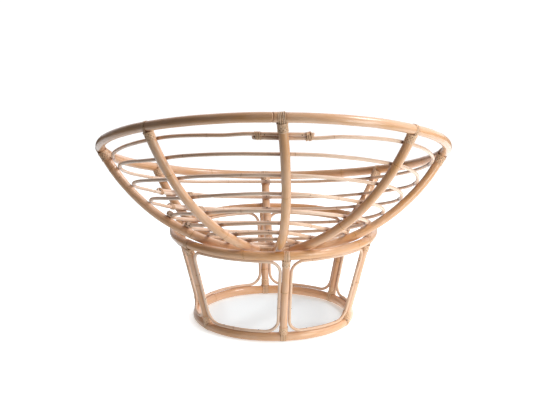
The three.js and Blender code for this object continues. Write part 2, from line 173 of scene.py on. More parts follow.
# %% [markdown]
# A cane is a round outline swept along a line. Blender's own curve bevel could do it, but then
# the surface would carry no record of where along the cane and where around it a point lies,
# and growth rings and fibres need both. So the sweep is done here, and each vertex keeps four
# values for the materials: its place in the straightened cane, its distance from the nearest
# growth ring, how dark it is with stain and painted shade, and the tone of the stem that it was
# cut from.
# %% A skin that collects swept surfaces
class Skin:
    """Swept surfaces and the values that their materials read, collected into one mesh."""

    def __init__(self):
        self.points = []
        self.faces = []
        self.flat_faces = []
        self.values = {"stem": [], "ring": [], "stain_and_shade": [], "tone": []}
        self.count = 0

    def add(self, rings, stem, ring=1.0, stain_and_shade=0.0, tone=0.5, closed=False):
        """Adds a surface of rings of points (n, m, 3). stem is (n, m, 3), the rest fit (n, m)."""
        n, m = rings.shape[:2]
        index = self.count + np.arange(n * m).reshape(n, m)
        if closed:
            index = np.vstack([index, index[:1]])
        else:
            self.flat_faces += [index[0][::-1].tolist(), index[-1].tolist()]
        turned = np.roll(index, -1, axis=1)
        quads = np.stack([index[:-1], turned[:-1], turned[1:], index[1:]], axis=-1)
        self.faces += quads.reshape(-1, 4).tolist()
        self.points.append(rings.reshape(-1, 3))
        self.values["stem"].append(stem.reshape(-1, 3))
        for name, value in (("ring", ring), ("stain_and_shade", stain_and_shade), ("tone", tone)):
            self.values[name].append(np.broadcast_to(value, (n, m)).reshape(-1))
        self.count += n * m

    def build(self, name, material, body, slot, *nodes):
        """Makes the piece, gives it a material and a body, and lets it stand for its CAD nodes."""
        points = np.concatenate(self.points)
        mesh = bpy.data.meshes.new(name)
        mesh.from_pydata(points.tolist(), [], self.faces + self.flat_faces)
        smooth = [True] * len(self.faces) + [False] * len(self.flat_faces)
        mesh.polygons.foreach_set("use_smooth", smooth)
        for title, parts in self.values.items():
            value = np.concatenate(parts).astype(np.float32)
            kind, field = ("FLOAT_VECTOR", "vector") if value.ndim == 2 else ("FLOAT", "value")
            mesh.attributes.new(title, kind, "POINT").data.foreach_set(field, value.ravel())
        mesh.materials.append(material)
        piece = bpy.data.objects.new(name, mesh)
        bpy.context.collection.objects.link(piece)
        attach(piece, body)
        if nodes:
            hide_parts(*nodes)


print("each vertex keeps:", ", ".join(Skin().values))

# %% [markdown]
# The sweep needs a direction in which the outline's first point faces. Letting that direction
# follow the sphere or the ring, and not twist freely, keeps every cane's own top and side. A
# cane's path is therefore a pair: its points, and the facing directions at them.
# %% Sweep an outline along a line
def tangents(line):
    """The direction of a line at each of its points."""
    return unit(np.gradient(line, axis=0))


def sweep(line, facing, outline, slant=0.0):
    """Places an outline (m, 2) or (n, m, 2) along a line. slant shifts its points along the line."""
    along = tangents(line)
    towards = facing - np.sum(facing * along, axis=1, keepdims=True) * along
    towards = unit(towards)
    across = np.cross(along, towards)
    outline = np.broadcast_to(outline, (len(line),) + np.shape(outline)[-2:])
    rings = line[:, None] + outline[..., :1] * towards[:, None] + outline[..., 1:] * across[:, None]
    return rings + np.asarray(slant)[..., None] * along[:, None]


def lengths_along(line):
    """The distance from the start of a line to each of its points."""
    steps = np.linalg.norm(np.diff(line, axis=0), axis=1)
    return np.concatenate([[0.0], np.cumsum(steps)])


def follow(path, distances):
    """The points and facings of a path at given distances from its start."""
    along = lengths_along(path[0])
    points, facings = (
        np.stack([np.interp(distances, along, part) for part in values.T], axis=1) for values in path
    )
    return points, unit(facings)


trial_line = around_axis(1.0, np.linspace(0, 1, 50), 0.0)
print("an arc of one radian and 1 m radius is %.4f m long" % lengths_along(trial_line)[-1])

# %% [markdown]
# A stem of rattan swells a little at each growth ring, where a leaf's sheath was cut away. A
# sweep needs close stations there and at a sawn end, and wide ones are enough everywhere else.
# The rings of the rim, of the three nearest ribs and of four posts are given where those canes
# are made, because most of them show plainly in the photograph. A seed places the others, and
# gives the slow wander that keeps a stem from being straight.
# %% Stations along a cane
RING_SPACING = (0.26, 0.46)
FIRST_RING_SHARE = (0.3, 0.9)
RING_FREE_END = 0.02
NEAR_RING = np.array((-14, -9, -5, -3, -1.8, -0.9, 0, 0.9, 1.8, 3, 5, 9, 14)) / 1000
NEAR_END = np.array((0, 0.3, 0.8, 1.6, 3)) / 1000
LEAST_STEP = 0.00025
DRIFT_WAVES = ((1.0, 0.55), (0.53, 0.3), (0.29, 0.15))


def drift(distances, period, rng):
    """A slow, smooth, seeded wander between about -1 and 1."""
    total = np.zeros_like(distances)
    for stretch, share in DRIFT_WAVES:
        total += share * np.sin(FULL_TURN * (distances / (period * stretch) + rng.random()))
    return total


def ring_places(length, rng):
    """Distances of the growth rings along a cane."""
    places = []
    place = rng.uniform(*FIRST_RING_SHARE) * RING_SPACING[0]
    while place < length - RING_FREE_END:
        places.append(place)
        place += rng.uniform(*RING_SPACING)
    return places


def stations(length, step, rings):
    """Distances for a sweep: even steps, with closer ones at the growth rings and the ends."""
    even = np.linspace(0, length, math.ceil(length / step) + 1)
    extra = [place + NEAR_RING for place in rings] + [NEAR_END, length - NEAR_END]
    every = np.unique(np.concatenate([even] + extra).clip(0, length))
    kept = [every[0]]
    for distance in every[1:-1]:
        if distance - kept[-1] > LEAST_STEP and length - distance > LEAST_STEP:
            kept.append(distance)
    return np.array(kept + [length])


print("growth rings on 2 m of cane:", np.round(ring_places(2.0, np.random.default_rng(1)), 3))

# %% [markdown]
# Dust and lacquer gather where canes cross and darken the wood, and the brown there is also
# painted contact shade. Under the bindings, and along the edges of peel strips, the brown is
# painted shade. They could be painted by hand on a texture, but each of the canes would need its
# own. One number at each vertex says the same, and the material mixes in a brown by it.
# %% Stains and painted shade on a cane
STAIN_AND_SHADE_DEPTH = 0.7
STAIN_AND_SHADE_REACH = 0.015
STAIN_AND_SHADE_POWER = 6
BOUND_EDGE = 0.002


def stain_and_shade_values(s, sides, stain_and_shade_spots, bound):
    """How dark a cane is at its stations s and round its sides.

    The first list gives the places of dark spots, of stain with painted contact shade, and bound the
    stretches under a binding, where shade is painted.
    """
    spots = np.zeros(len(s))
    # Stain with painted contact shade round each spot.
    for place in stain_and_shade_spots:
        spots = np.maximum(spots, np.exp(-(((s - place) / STAIN_AND_SHADE_REACH) ** STAIN_AND_SHADE_POWER)))
    stain_and_shade = STAIN_AND_SHADE_DEPTH * np.repeat(spots[:, None], sides, axis=1)
    # Painted shade under a binding.
    for start, end in bound:
        under = np.clip((s - start) / BOUND_EDGE, 0, 1) * np.clip((end - s) / BOUND_EDGE, 0, 1)
        stain_and_shade = np.maximum(stain_and_shade, under[:, None])
    return stain_and_shade


trial_stain_and_shade = stain_and_shade_values(np.linspace(0, 0.02, 5), 1, [0], [])
print("a stain, every 5 mm from its middle:", trial_stain_and_shade[:, 0].round(2))

# %% [markdown]
# A growth ring stands proud as a thin, slightly slanted ridge. Between the rings a stem is never
# quite round or even, and its sawn ends have lost their sharp edge. A bump map could fake all
# this, but a cane is seen against the light along its edge, where only shape shows.
# %% How thick a cane is
RING_SWELL = 0.018
RING_SWELL_REACH = 0.009
RING_RIDGE = 0.014
RING_RIDGE_REACH = 0.0011
RING_SLANT = 0.16
OVAL = 0.012
UNEVEN = 0.014
UNEVEN_PERIOD = 0.21
END_ROUNDING = 0.0016
END_DRAW = 0.13


def ring_distances(s, angle, radius, rings, rng):
    """How far each point of a cane's skin is from the nearest growth ring."""
    distance = np.full((len(s), len(angle)), 1.0)
    for place in rings:
        tilt = RING_SLANT * radius * np.cos(angle - rng.random() * FULL_TURN)
        gap = s[:, None] - place - tilt
        distance = np.where(np.abs(gap) < np.abs(distance), gap, distance)
    return distance


def cane_thickness(s, angle, radius, distance, rng):
    """The radius of a cane at its stations s and at angles round it."""
    swell = RING_SWELL * np.exp(-((distance / RING_SWELL_REACH) ** 2))
    ridge = RING_RIDGE * np.exp(-((distance / RING_RIDGE_REACH) ** 2))
    oval = OVAL * np.cos(2 * angle + rng.random() * FULL_TURN)
    uneven = UNEVEN * drift(s, UNEVEN_PERIOD, rng)[:, None]
    from_end = np.minimum(s, s[-1] - s)[:, None]
    drawn = END_DRAW * (1 - np.clip(from_end / END_ROUNDING, 0, 1)) ** 2
    return radius * (1 + swell + ridge + oval + uneven) * (1 - drawn)


print("a rib is %.1f mm thick at a growth ring" % (RIB_CANE * (1 + RING_SWELL + RING_RIDGE) * 1000))

# %% [markdown]
# One function adds any cane of the chair. It lets the line wander a little, gives it its
# thickness, cuts its ends, and keeps for every point where it would lie in the straight stem.
# Each cane takes its own stretch of an endless stem, so that no two show the same streaks.
# %% A cane
WANDER_FADE = 0.05
WANDER_PERIODS = (0.45, 0.38)
CUT_REACH = 3.0
STEM_SPREAD = 8


def square_cut(angle):
    """An end cut straight across."""
    return 0 * angle


def add_cane(
    skin, path, radius, seed, step=0.007, sides=24, rings=None, wander=0.0008,
    cuts=(square_cut, square_cut), stain_and_shade_spots=(), bound=(), tone=None,
):
    """Adds one cane and returns its length.

    cuts say how far each side of an end is cut back, the spots and bound where stain and painted
    shade darken the cane, and tone how golden it is. Growth rings that aren't given are placed by the seed.
    """
    rng = np.random.default_rng(seed)
    length = lengths_along(path[0])[-1]
    rings = ring_places(length, rng) if rings is None else rings
    s = stations(length, step, rings)
    line, facing = follow(path, s)
    along = tangents(line)
    beside = np.cross(along, facing)
    fade = np.clip(np.minimum(s, length - s) / WANDER_FADE, 0, 1)[:, None]
    line = line + wander * fade * drift(s, WANDER_PERIODS[0], rng)[:, None] * facing
    line = line + wander * fade * drift(s, WANDER_PERIODS[1], rng)[:, None] * beside

    angle = np.arange(sides) * FULL_TURN / sides
    distance = ring_distances(s, angle, radius, rings, rng)
    thickness = cane_thickness(s, angle, radius, distance, rng)
    outline = thickness[..., None] * np.stack([np.cos(angle), np.sin(angle)], axis=-1)
    reach = CUT_REACH * radius
    slant = cuts[0](angle) * np.clip(1 - s / reach, 0, 1)[:, None]
    slant = slant - cuts[1](angle) * np.clip(1 - (length - s) / reach, 0, 1)[:, None]
    shift = rng.uniform(0, STEM_SPREAD, 3)
    stem = np.stack(
        [
            radius * np.cos(angle) + 0 * s[:, None] + shift[0],
            radius * np.sin(angle) + 0 * s[:, None] + shift[1],
            s[:, None] + 0 * angle + shift[2],
        ],
        axis=-1,
    )
    tone = rng.random() if tone is None else tone
    stain_and_shade = stain_and_shade_values(s, sides, stain_and_shade_spots, bound)
    skin.add(sweep(line, facing, outline, slant), stem, distance, stain_and_shade, tone)
    return length


trial_skin = Skin()
trial_length = add_cane(trial_skin, (trial_line, trial_line), RIB_CANE / 2, seed=1)
print("a trial cane of %.3f m has %d points" % (trial_length, trial_skin.count))

# %% [markdown]
# Peel is the hard outer skin of the stem, split into flat strips about 4 mm wide. Wound wet, it
# dries tight. A ribbon of single faces would be lighter, but its edge would look like paper, so
# a strip is a thin outline with a slight crown, swept with its flat side down.
# %% A strip of peel
EDGE_SHADE = 0.12
EDGE_SHADE_POWER = 3
STRIP_OUTLINE = np.array(
    ((1, 0), (0.82, 0.66), (0.2, 1), (-0.8, 0.92), (-0.8, -0.92), (0.2, -1), (0.82, -0.66))
)


def add_strip(skin, line, facing, width, thickness, seed, closed=False):
    """Adds a flat strip that lies along a line with its back to the facing direction."""
    rng = np.random.default_rng(seed)
    outline = STRIP_OUTLINE * np.array((thickness / 2, width / 2))
    if closed:
        around = np.concatenate([line[-1:], line, line[:1]])
        facings = np.concatenate([facing[-1:], facing, facing[:1]])
        rings = sweep(around, facings, outline)[1:-1]
    else:
        rings = sweep(line, facing, outline)
    s = lengths_along(line)[:, None]
    shift = rng.uniform(0, STEM_SPREAD, 3)
    places = np.broadcast_arrays(outline[:, 1] + shift[0], outline[:, 0] + shift[1], s + shift[2])
    # Each strip's edges get painted shade: a brown line between neighbouring strips.
    edge = EDGE_SHADE * np.abs(STRIP_OUTLINE[:, 1]) ** EDGE_SHADE_POWER
    skin.add(rings, np.stack(places, axis=-1), 1.0, edge, rng.random(), closed=closed)


print("strip outline:", len(STRIP_OUTLINE), "points")

# %% [markdown]
# A material is a tree of nodes. It could be drawn by hand in the shader editor, but written out
# it can be read and changed like the rest. Three helpers keep that short: one starts a node
# group, one adds a node with its inputs, and one feeds a socket with a link or a plain value.
# %% Helpers for shader nodes
def new_group(name, inputs, outputs):
    """A shader node group with float or vector inputs (name, default) and float outputs."""
    tree = bpy.data.node_groups.new(name, "ShaderNodeTree")
    for title, value in inputs:
        kind = "NodeSocketVector" if value is None else "NodeSocketFloat"
        socket = tree.interface.new_socket(title, in_out="INPUT", socket_type=kind)
        if value is not None:
            socket.default_value = value
    for title in outputs:
        tree.interface.new_socket(title, in_out="OUTPUT", socket_type="NodeSocketFloat")
    return tree, tree.nodes.new("NodeGroupInput").outputs, tree.nodes.new("NodeGroupOutput").inputs


def put(tree, kind, settings=None, **inputs):
    """Adds a node. Inputs are given by name, as a value or an output to link."""
    node = tree.nodes.new("ShaderNode" + kind)
    for field, value in (settings or {}).items():
        setattr(node, field, value)
    for title, value in inputs.items():
        feed(tree, node.inputs[title], value)
    return node


def feed(tree, socket, value):
    """Links an output to a socket, or sets the socket to a plain value."""
    if isinstance(value, bpy.types.NodeSocket):
        tree.links.new(value, socket)
    else:
        socket.default_value = value


print("helpers:", new_group.__name__, put.__name__, feed.__name__)

# %% [markdown]
# Most of a material is sums of masks. Five more helpers write such a step in one line: a Math
# node, a Vector Math node, a smooth step, a stem's place with another scale, and a mix of two
# colours by a mask.
# %% Helpers for values and colours
def sums(tree, operation, first, second, third=None):
    """A Math node's result."""
    node = put(tree, "Math", {"operation": operation})
    feed(tree, node.inputs[0], first)
    feed(tree, node.inputs[1], second)
    if third is not None:
        feed(tree, node.inputs[2], third)
    return node.outputs[0]


def vectors(tree, operation, first, second):
    """A Vector Math node's results."""
    node = put(tree, "VectorMath", {"operation": operation})
    feed(tree, node.inputs[0], first)
    feed(tree, node.inputs[1], second)
    return node.outputs


def ramp(tree, value, low, high, to_low=0.0, to_high=1.0):
    """A smooth step from low to high."""
    node = put(tree, "MapRange", {"interpolation_type": "SMOOTHSTEP"}, Value=value)
    for title, number in (("From Min", low), ("From Max", high), ("To Min", to_low), ("To Max", to_high)):
        feed(tree, node.inputs[title], number)
    return node.outputs["Result"]


def scaled(tree, vector, around, along):
    """A place in the stem, scaled across the stem and along it."""
    scale = put(tree, "CombineXYZ", X=around, Y=around, Z=along).outputs[0]
    return vectors(tree, "MULTIPLY", vector, scale)["Vector"]


def blended(tree, mask, first, second):
    """A mix of two colours: the first where the mask is zero, the second where it is one."""
    node = put(tree, "Mix", {"data_type": "RGBA"})
    feed(tree, node.inputs[0], mask)
    feed(tree, node.inputs[6], first)
    feed(tree, node.inputs[7], second)
    return node.outputs[2]


print("helpers:", sums.__name__, vectors.__name__, ramp.__name__, scaled.__name__, blended.__name__)

# %% [markdown]
# A finish that several materials share is kept as a node group, so that a change to it reaches
# all of them. A group gives out only masks and values, and the shader stays in the material.
# Rattan is a bundle of long fibres, so its finest mark is a streak: very long along the stem and
# a fraction of a millimetre across. Noise stretched along the stem gives that. The stem's own
# coordinates are used, and not the object's, so the streaks follow every bend.
# %% Node group: fibres
WIDE_ACROSS_SHARE = 0.28
WIDE_ALONG_SHARE = 0.45
FINE_SHARE = 0.45
FINE_DETAIL = 3.0
WIDE_DETAIL = 2.0
STREAK_RANGE = (0.34, 0.68)
GROOVE_RANGE = (0.30, 0.62)

fibre_inputs = [("Stem", None), ("Across", 900.0), ("Along", 14.0)]
fibres, given, out = new_group("rattan_fibres", fibre_inputs, ["Streaks", "Grooves"])
fine_place = scaled(fibres, given["Stem"], given["Across"], given["Along"])
fine = put(fibres, "TexNoise", Vector=fine_place, Scale=1.0, Detail=FINE_DETAIL).outputs[0]
wide_across = sums(fibres, "MULTIPLY", given["Across"], WIDE_ACROSS_SHARE)
wide_along = sums(fibres, "MULTIPLY", given["Along"], WIDE_ALONG_SHARE)
wide_place = scaled(fibres, given["Stem"], wide_across, wide_along)
wide = put(fibres, "TexNoise", Vector=wide_place, Scale=1.0, Detail=WIDE_DETAIL).outputs[0]
wide_part = sums(fibres, "MULTIPLY", wide, 1 - FINE_SHARE)
mixed = sums(fibres, "MULTIPLY_ADD", fine, FINE_SHARE, wide_part)
feed(fibres, out["Streaks"], ramp(fibres, mixed, *STREAK_RANGE))
feed(fibres, out["Grooves"], ramp(fibres, fine, *GROOVE_RANGE))
print("group:", fibres.name)

# %% [markdown]
# No two lengths of a stem have quite the same colour. Peeling leaves warm amber patches among
# the pale ones, some tens of millimetres long, and the sun darkens one side more than another.
# One broad noise gives both: the amber where it is high, and the palest wood where it is low.
# %% Node group: patches
PATCH_DETAIL = 4.0
PATCH_ROUGHNESS = 0.62
AMBER_RANGE = (0.46, 0.72)
PALE_RANGE = (0.50, 0.26)

patch_inputs = [("Stem", None), ("Across", 32.0), ("Along", 9.0)]
patches, given, out = new_group("rattan_patches", patch_inputs, ["Amber", "Pale"])
broad_place = scaled(patches, given["Stem"], given["Across"], given["Along"])
broad = put(
    patches, "TexNoise", Vector=broad_place, Scale=1.0, Detail=PATCH_DETAIL, Roughness=PATCH_ROUGHNESS
).outputs[0]
feed(patches, out["Amber"], ramp(patches, broad, *AMBER_RANGE))
feed(patches, out["Pale"], ramp(patches, broad, *PALE_RANGE))
print("group:", patches.name)

# %% [markdown]
# The scar at a growth ring is a thin dark line with a tan shade on both sides of it. The ridge
# itself is in the mesh, and each vertex knows how far it is from the nearest ring, so the line
# is drawn from that distance. A little noise keeps it from being a perfect circle.
# %% Node group: growth ring
SCAR_WAVER = 0.0022
SCAR_WAVER_SCALE = 260.0
SHADE_WIDTHS = 9.0

scar_inputs = [("Stem", None), ("Distance", 1.0), ("Width", 0.0011)]
scar, given, out = new_group("growth_ring", scar_inputs, ["Line", "Shade"])
waver_place = scaled(scar, given["Stem"], SCAR_WAVER_SCALE, SCAR_WAVER_SCALE)
waver = put(scar, "TexNoise", Vector=waver_place, Scale=1.0).outputs[0]
offset = sums(scar, "MULTIPLY_ADD", waver, SCAR_WAVER, -SCAR_WAVER / 2)
gap = sums(scar, "ABSOLUTE", sums(scar, "ADD", given["Distance"], offset), 0.0)
feed(scar, out["Line"], ramp(scar, gap, given["Width"], 0.0))
feed(scar, out["Shade"], ramp(scar, gap, sums(scar, "MULTIPLY", given["Width"], SHADE_WIDTHS), 0.0))
print("group:", scar.name)

# %% [markdown]
# Now and then a stem has a small dark fleck where a thorn sat or a beetle tried it. Cells of a
# Voronoi texture give one candidate each, and only a few of them are let through.
# %% Node group: flecks
FLECK_ALONG = 45.0
FLECK_RANGE = (0.16, 0.05)

fleck_inputs = [("Stem", None), ("Across", 75.0), ("Share", 0.1)]
flecks, given, out = new_group("thorn_flecks", fleck_inputs, ["Mask"])
cell_place = scaled(flecks, given["Stem"], given["Across"], FLECK_ALONG)
cells = put(flecks, "TexVoronoi", Vector=cell_place, Scale=1.0).outputs
picked = put(flecks, "SeparateColor", Color=cells["Color"]).outputs[0]
chosen = sums(flecks, "LESS_THAN", picked, given["Share"])
dot = ramp(flecks, cells["Distance"], *FLECK_RANGE)
feed(flecks, out["Mask"], sums(flecks, "MULTIPLY", chosen, dot))
print("group:", flecks.name)

# %% [markdown]
# The materials need three more helpers: one places a node group, one reads a value that the skin
# kept on the mesh, and one turns a colour as it looks on a screen into the linear light that a
# shader works in.
# %% Helpers for the finishes
def group_node(tree, group, **inputs):
    """Places a node group in a material with its own values."""
    node = tree.nodes.new("ShaderNodeGroup")
    node.node_tree = group
    for title, value in inputs.items():
        feed(tree, node.inputs[title], value)
    return node.outputs


def mesh_value(tree, name, output="Fac"):
    """A value that the skin kept on the vertices."""
    return put(tree, "Attribute", {"attribute_type": "GEOMETRY", "attribute_name": name}).outputs[output]


def linear(red, green, blue):
    """A colour that is given as it looks on a screen, for a shader socket."""
    curve = lambda v: (v / 255 / 12.92) if v <= 10 else ((v / 255 + 0.055) / 1.055) ** 2.4
    return (curve(red), curve(green), curve(blue), 1.0)


print("a screen's mid grey is %.3f in a shader" % linear(128, 128, 128)[0])

# %% [markdown]
# One function makes all the rattan finishes, because a thick stem, a thin one and a strip of
# peel differ only in their values: how coarse the fibres look, how warm the colour is, and how
# thick the lacquer lies. The colours are mixed from light to dark, as a finisher would work:
# pale stem, amber patches, streaks, ring scars, flecks, and last the brown where dust and
# lacquer gather at a crossing, with painted contact shade there, and painted shade under the
# bindings and along the strips' edges. The lacquer is the shader's own coat.
# %% Rattan finishes
PALE_SHARE = 0.75
TONE_SHARE = 0.50
PATCH_SHARE = 0.45
RING_SHADE_SHARE = 0.30
RING_LINE_SHARE = 0.60
FLECK_SHARE = 0.7
STAIN_AND_SHADE_SHARE = 0.8
STREAK_GLOSS = 0.10
GROOVE_DULLNESS = 0.08
DARK_DULLNESS = 0.25
GROOVE_HEIGHT = 0.5
PATCH_HEIGHT = 0.3
BUMP_DEPTH = 0.0004
BUMP_STRENGTH = 0.35
COAT_ROUGHNESS = 0.16
LACQUER_IOR = 1.5


def rattan(name, pale, honey, amber, brown, across, streak, roughness, coat):
    """A rattan finish. across is how fine the fibres are, and streak how strongly they show."""
    material = bpy.data.materials.new(name)
    material.use_nodes = True
    tree = material.node_tree
    shader = tree.nodes["Principled BSDF"].inputs
    stem = mesh_value(tree, "stem", "Vector")
    lines = group_node(tree, fibres, Stem=stem, Across=across)
    spots = group_node(tree, patches, Stem=stem)
    ring = group_node(tree, scar, Stem=stem, Distance=mesh_value(tree, "ring"))
    marks = group_node(tree, flecks, Stem=stem)

    def part(mask, share):
        return sums(tree, "MULTIPLY", mask, share)

    patch = part(spots["Amber"], PATCH_SHARE)
    warm = sums(tree, "MULTIPLY_ADD", mesh_value(tree, "tone"), TONE_SHARE, patch)
    streaks = part(sums(tree, "SUBTRACT", 1.0, lines["Streaks"]), streak)
    # The brown of stains, and of painted shade at crossings, under bindings and along strip edges.
    stain_and_shade = part(mesh_value(tree, "stain_and_shade"), STAIN_AND_SHADE_SHARE)
    dark = sums(tree, "MAXIMUM", part(marks["Mask"], FLECK_SHARE), stain_and_shade)
    colour = blended(tree, part(spots["Pale"], PALE_SHARE), honey, pale)
    colour = blended(tree, warm, colour, amber)
    colour = blended(tree, streaks, colour, brown)
    colour = blended(tree, part(ring["Shade"], RING_SHADE_SHARE), colour, amber)
    colour = blended(tree, part(ring["Line"], RING_LINE_SHARE), colour, brown)
    feed(tree, shader["Base Color"], blended(tree, dark, colour, brown))

    rough = sums(tree, "MULTIPLY_ADD", lines["Streaks"], -STREAK_GLOSS, roughness + GROOVE_DULLNESS)
    feed(tree, shader["Roughness"], sums(tree, "MULTIPLY_ADD", dark, DARK_DULLNESS, rough))
    raised = part(spots["Amber"], PATCH_HEIGHT)
    height = sums(tree, "MULTIPLY_ADD", lines["Grooves"], GROOVE_HEIGHT, raised)
    bump = put(tree, "Bump", Height=height, Distance=BUMP_DEPTH, Strength=BUMP_STRENGTH)
    feed(tree, shader["Normal"], bump.outputs[0])
    shader["Coat Weight"].default_value = coat
    shader["Coat Roughness"].default_value = COAT_ROUGHNESS
    shader["IOR"].default_value = LACQUER_IOR
    return material


PALE = linear(244, 211, 182)
HONEY = linear(232, 185, 148)
AMBER = linear(218, 158, 93)
BROWN = linear(110, 60, 40)
thick_cane = rattan(
    "thick_cane", PALE, HONEY, AMBER, BROWN, across=900.0, streak=0.16, roughness=0.30, coat=0.55
)
print("finish:", thick_cane.name)

# %% [markdown]
# The thin canes are paler than the thick ones and have less lacquer, so they are duller. Peel is
# the stem's own skin: it has closer fibres and hardly any lacquer, and its brown goes along each
# strip's edges as painted shade. The same function makes both, with other values.
# %% Finishes of thin cane and peel
PALE_THIN = linear(248, 230, 210)
HONEY_THIN = linear(240, 209, 184)
AMBER_THIN = linear(222, 180, 143)
thin_cane = rattan(
    "thin_cane", PALE_THIN, HONEY_THIN, AMBER_THIN, BROWN,
    across=1100.0, streak=0.14, roughness=0.38, coat=0.25,
)

PALE_PEEL = linear(250, 223, 194)
HONEY_PEEL = linear(241, 202, 166)
AMBER_PEEL = linear(222, 176, 130)
BROWN_PEEL = linear(84, 50, 32)
peel = rattan(
    "cane_peel", PALE_PEEL, HONEY_PEEL, AMBER_PEEL, BROWN_PEEL,
    across=1500.0, streak=0.14, roughness=0.46, coat=0.15,
)
print("finishes:", thin_cane.name, peel.name)

# %% [markdown]
# The nails are plain iron brads. Their heads have gone dark and dull, so they get a rough metal
# whose colour wanders between black iron and a trace of rust.
# %% Iron finish
BLACK_IRON = linear(58, 44, 36)
RUST = linear(96, 58, 38)
RUST_SCALE = 700.0
RUST_RANGE = (0.45, 0.7)
DULLING_RANGE = (0.3, 0.7)
IRON_ROUGHNESS = (0.42, 0.7)
IRON_METALLIC = 0.7

iron = bpy.data.materials.new("brad_iron")
iron.use_nodes = True
iron_tree = iron.node_tree
iron_shader = iron_tree.nodes["Principled BSDF"].inputs
place = put(iron_tree, "TexCoord").outputs["Object"]
rust = put(iron_tree, "TexNoise", Vector=place, Scale=RUST_SCALE).outputs[0]
rusty = blended(iron_tree, ramp(iron_tree, rust, *RUST_RANGE), BLACK_IRON, RUST)
feed(iron_tree, iron_shader["Base Color"], rusty)
dulling = ramp(iron_tree, rust, *DULLING_RANGE, *IRON_ROUGHNESS)
feed(iron_tree, iron_shader["Roughness"], dulling)
iron_shader["Metallic"].default_value = IRON_METALLIC
print("finish:", iron.name)

# %% [markdown]
# The rim and the stand's rings are bent into circles. A torus would be quicker to make, but it
# has no ends, and a bent cane has two: they are sawn on a slant and meet with a hair of space
# between. So a ring here is a nearly closed circle, and its two cuts have the same slope.
# %% Helpers for bent canes
JOINT_GAP = 0.0007
JOINT_SLOPE = 0.35
DENSE_TURN = 720


def lean_path(points, facings):
    """A path of the level bowl, with its facings, taken to where the bowl rests."""
    return to_chair(points), facings @ LEAN.T


def circle_path(radius, height, start):
    """A nearly closed circle about the Z axis that starts and ends at a joint."""
    azimuth = np.linspace(JOINT_GAP / 2 / radius, FULL_TURN - JOINT_GAP / 2 / radius, DENSE_TURN) + start
    return around_axis(radius, azimuth, height), around_axis(1.0, azimuth, 0.0)


def sloped(radius, slope):
    """A slanted saw cut: how far each side of a cane's end is cut back."""
    return lambda angle: slope * radius * np.cos(angle)


def butted(radius, slope):
    """The cuts at both ends of a cane whose ends meet."""
    return sloped(radius, slope), sloped(radius, -slope)


print("a joint on the rim leaves %.1f mm between its ends" % (JOINT_GAP * 1000))

# %% [markdown]
# The rim is one stem. Its joint is just beside the nearest binding, where the photograph shows a
# thin dark curve across the rim. Under the strips of a binding the rim is painted with shade, so
# the stretches that they cover are worked out from the number of strips there: five at the
# nearest rib, and at some of the others only two or three.
# %% Rim
RIB_ANGLES = [math.radians(angle) for angle in (2.3, 47.8, 93.9, 138.1, 183.1, 228.1, 273.9, 318.4)]
RIM_STRIPS = (5, 3, 3, 3, 5, 4, 3, 2)
OVER_RING_PITCH = 0.0047
BOUND_INSET = 0.0005
RIM_JOINT = math.radians(-0.6)
RIM_RINGS = (0.62, 1.06, 1.45, 1.93, 2.36, 2.74)
RIM_TONE = 0.5
RIM_SIDES = 28
RING_WANDER = 0.0005


def tied_on_ring(radius, start, angles, strips):
    """The stretches of a ring's cane under its bindings, where shade is painted, by the distance from its
    joint.
    """
    middles = [radius * ((angle - start) % FULL_TURN) for angle in angles]
    halves = [count * OVER_RING_PITCH / 2 - BOUND_INSET for count in strips]
    return [(middle - half, middle + half) for middle, half in zip(middles, halves)]


rim_skin = Skin()
rim_length = add_cane(
    rim_skin, lean_path(*circle_path(RIM_RADIUS, RIM_RISE, RIM_JOINT)), RIM_CANE / 2, seed=11,
    sides=RIM_SIDES, rings=RIM_RINGS, wander=RING_WANDER, cuts=butted(RIM_CANE / 2, JOINT_SLOPE),
    bound=tied_on_ring(RIM_RADIUS, RIM_JOINT, RIB_ANGLES, RIM_STRIPS), tone=RIM_TONE,
)
rim_skin.build("rim_cane", thick_cane, "bowl", "thick_cane", "bowl_rim")
print("rim: %.3f m of cane" % rim_length)

# %% [markdown]
# Eight ribs run from the hub up to the rim. A rib's upper end is coped: sawn to a hollow that
# fits the round of the rim. A boolean cut could make it, but it leaves a ragged mesh. Seen from
# the side the hollow depends only on how far a point lies from the rib's own middle, so the cut
# is one square root. The near rib leans to one side. Each rib's tone was matched.
# %% Ribs
HUB_RADIUS = 0.065
HUB_CANE = 0.020
HUB_POLAR = math.asin(HUB_RADIUS / SPHERE_RADIUS)
NEAR_RIB_SKEW = math.radians(8.1)
RIB_RINGS = {1: (0.335,), 2: (0.21, 0.47), 8: (0.15, 0.429)}
RIB_TONES = (1.0, 0.60, 0.70, 0.60, 0.60, 0.60, 0.35, 0.40)
RIB_PLACES = 240
RIB_STEP = 0.005
RIM_COLLAR_LENGTH = 0.026
COLLAR_OVERLAP = 0.002


def rib_azimuth(number, polar):
    """Where a rib stands at a polar angle. The nearest one is skewed towards its foot."""
    skew = NEAR_RIB_SKEW * (1 - np.asarray(polar) / RIM_POLAR) if number == 1 else 0.0
    return RIB_ANGLES[number - 1] + skew


def coped(radius, other):
    """A hollow cut at a cane's end that fits another cane, whose middle the line ends on."""
    return lambda angle: np.sqrt(np.maximum((other + CLEARANCE) ** 2 - (radius * np.cos(angle)) ** 2, 0.0))


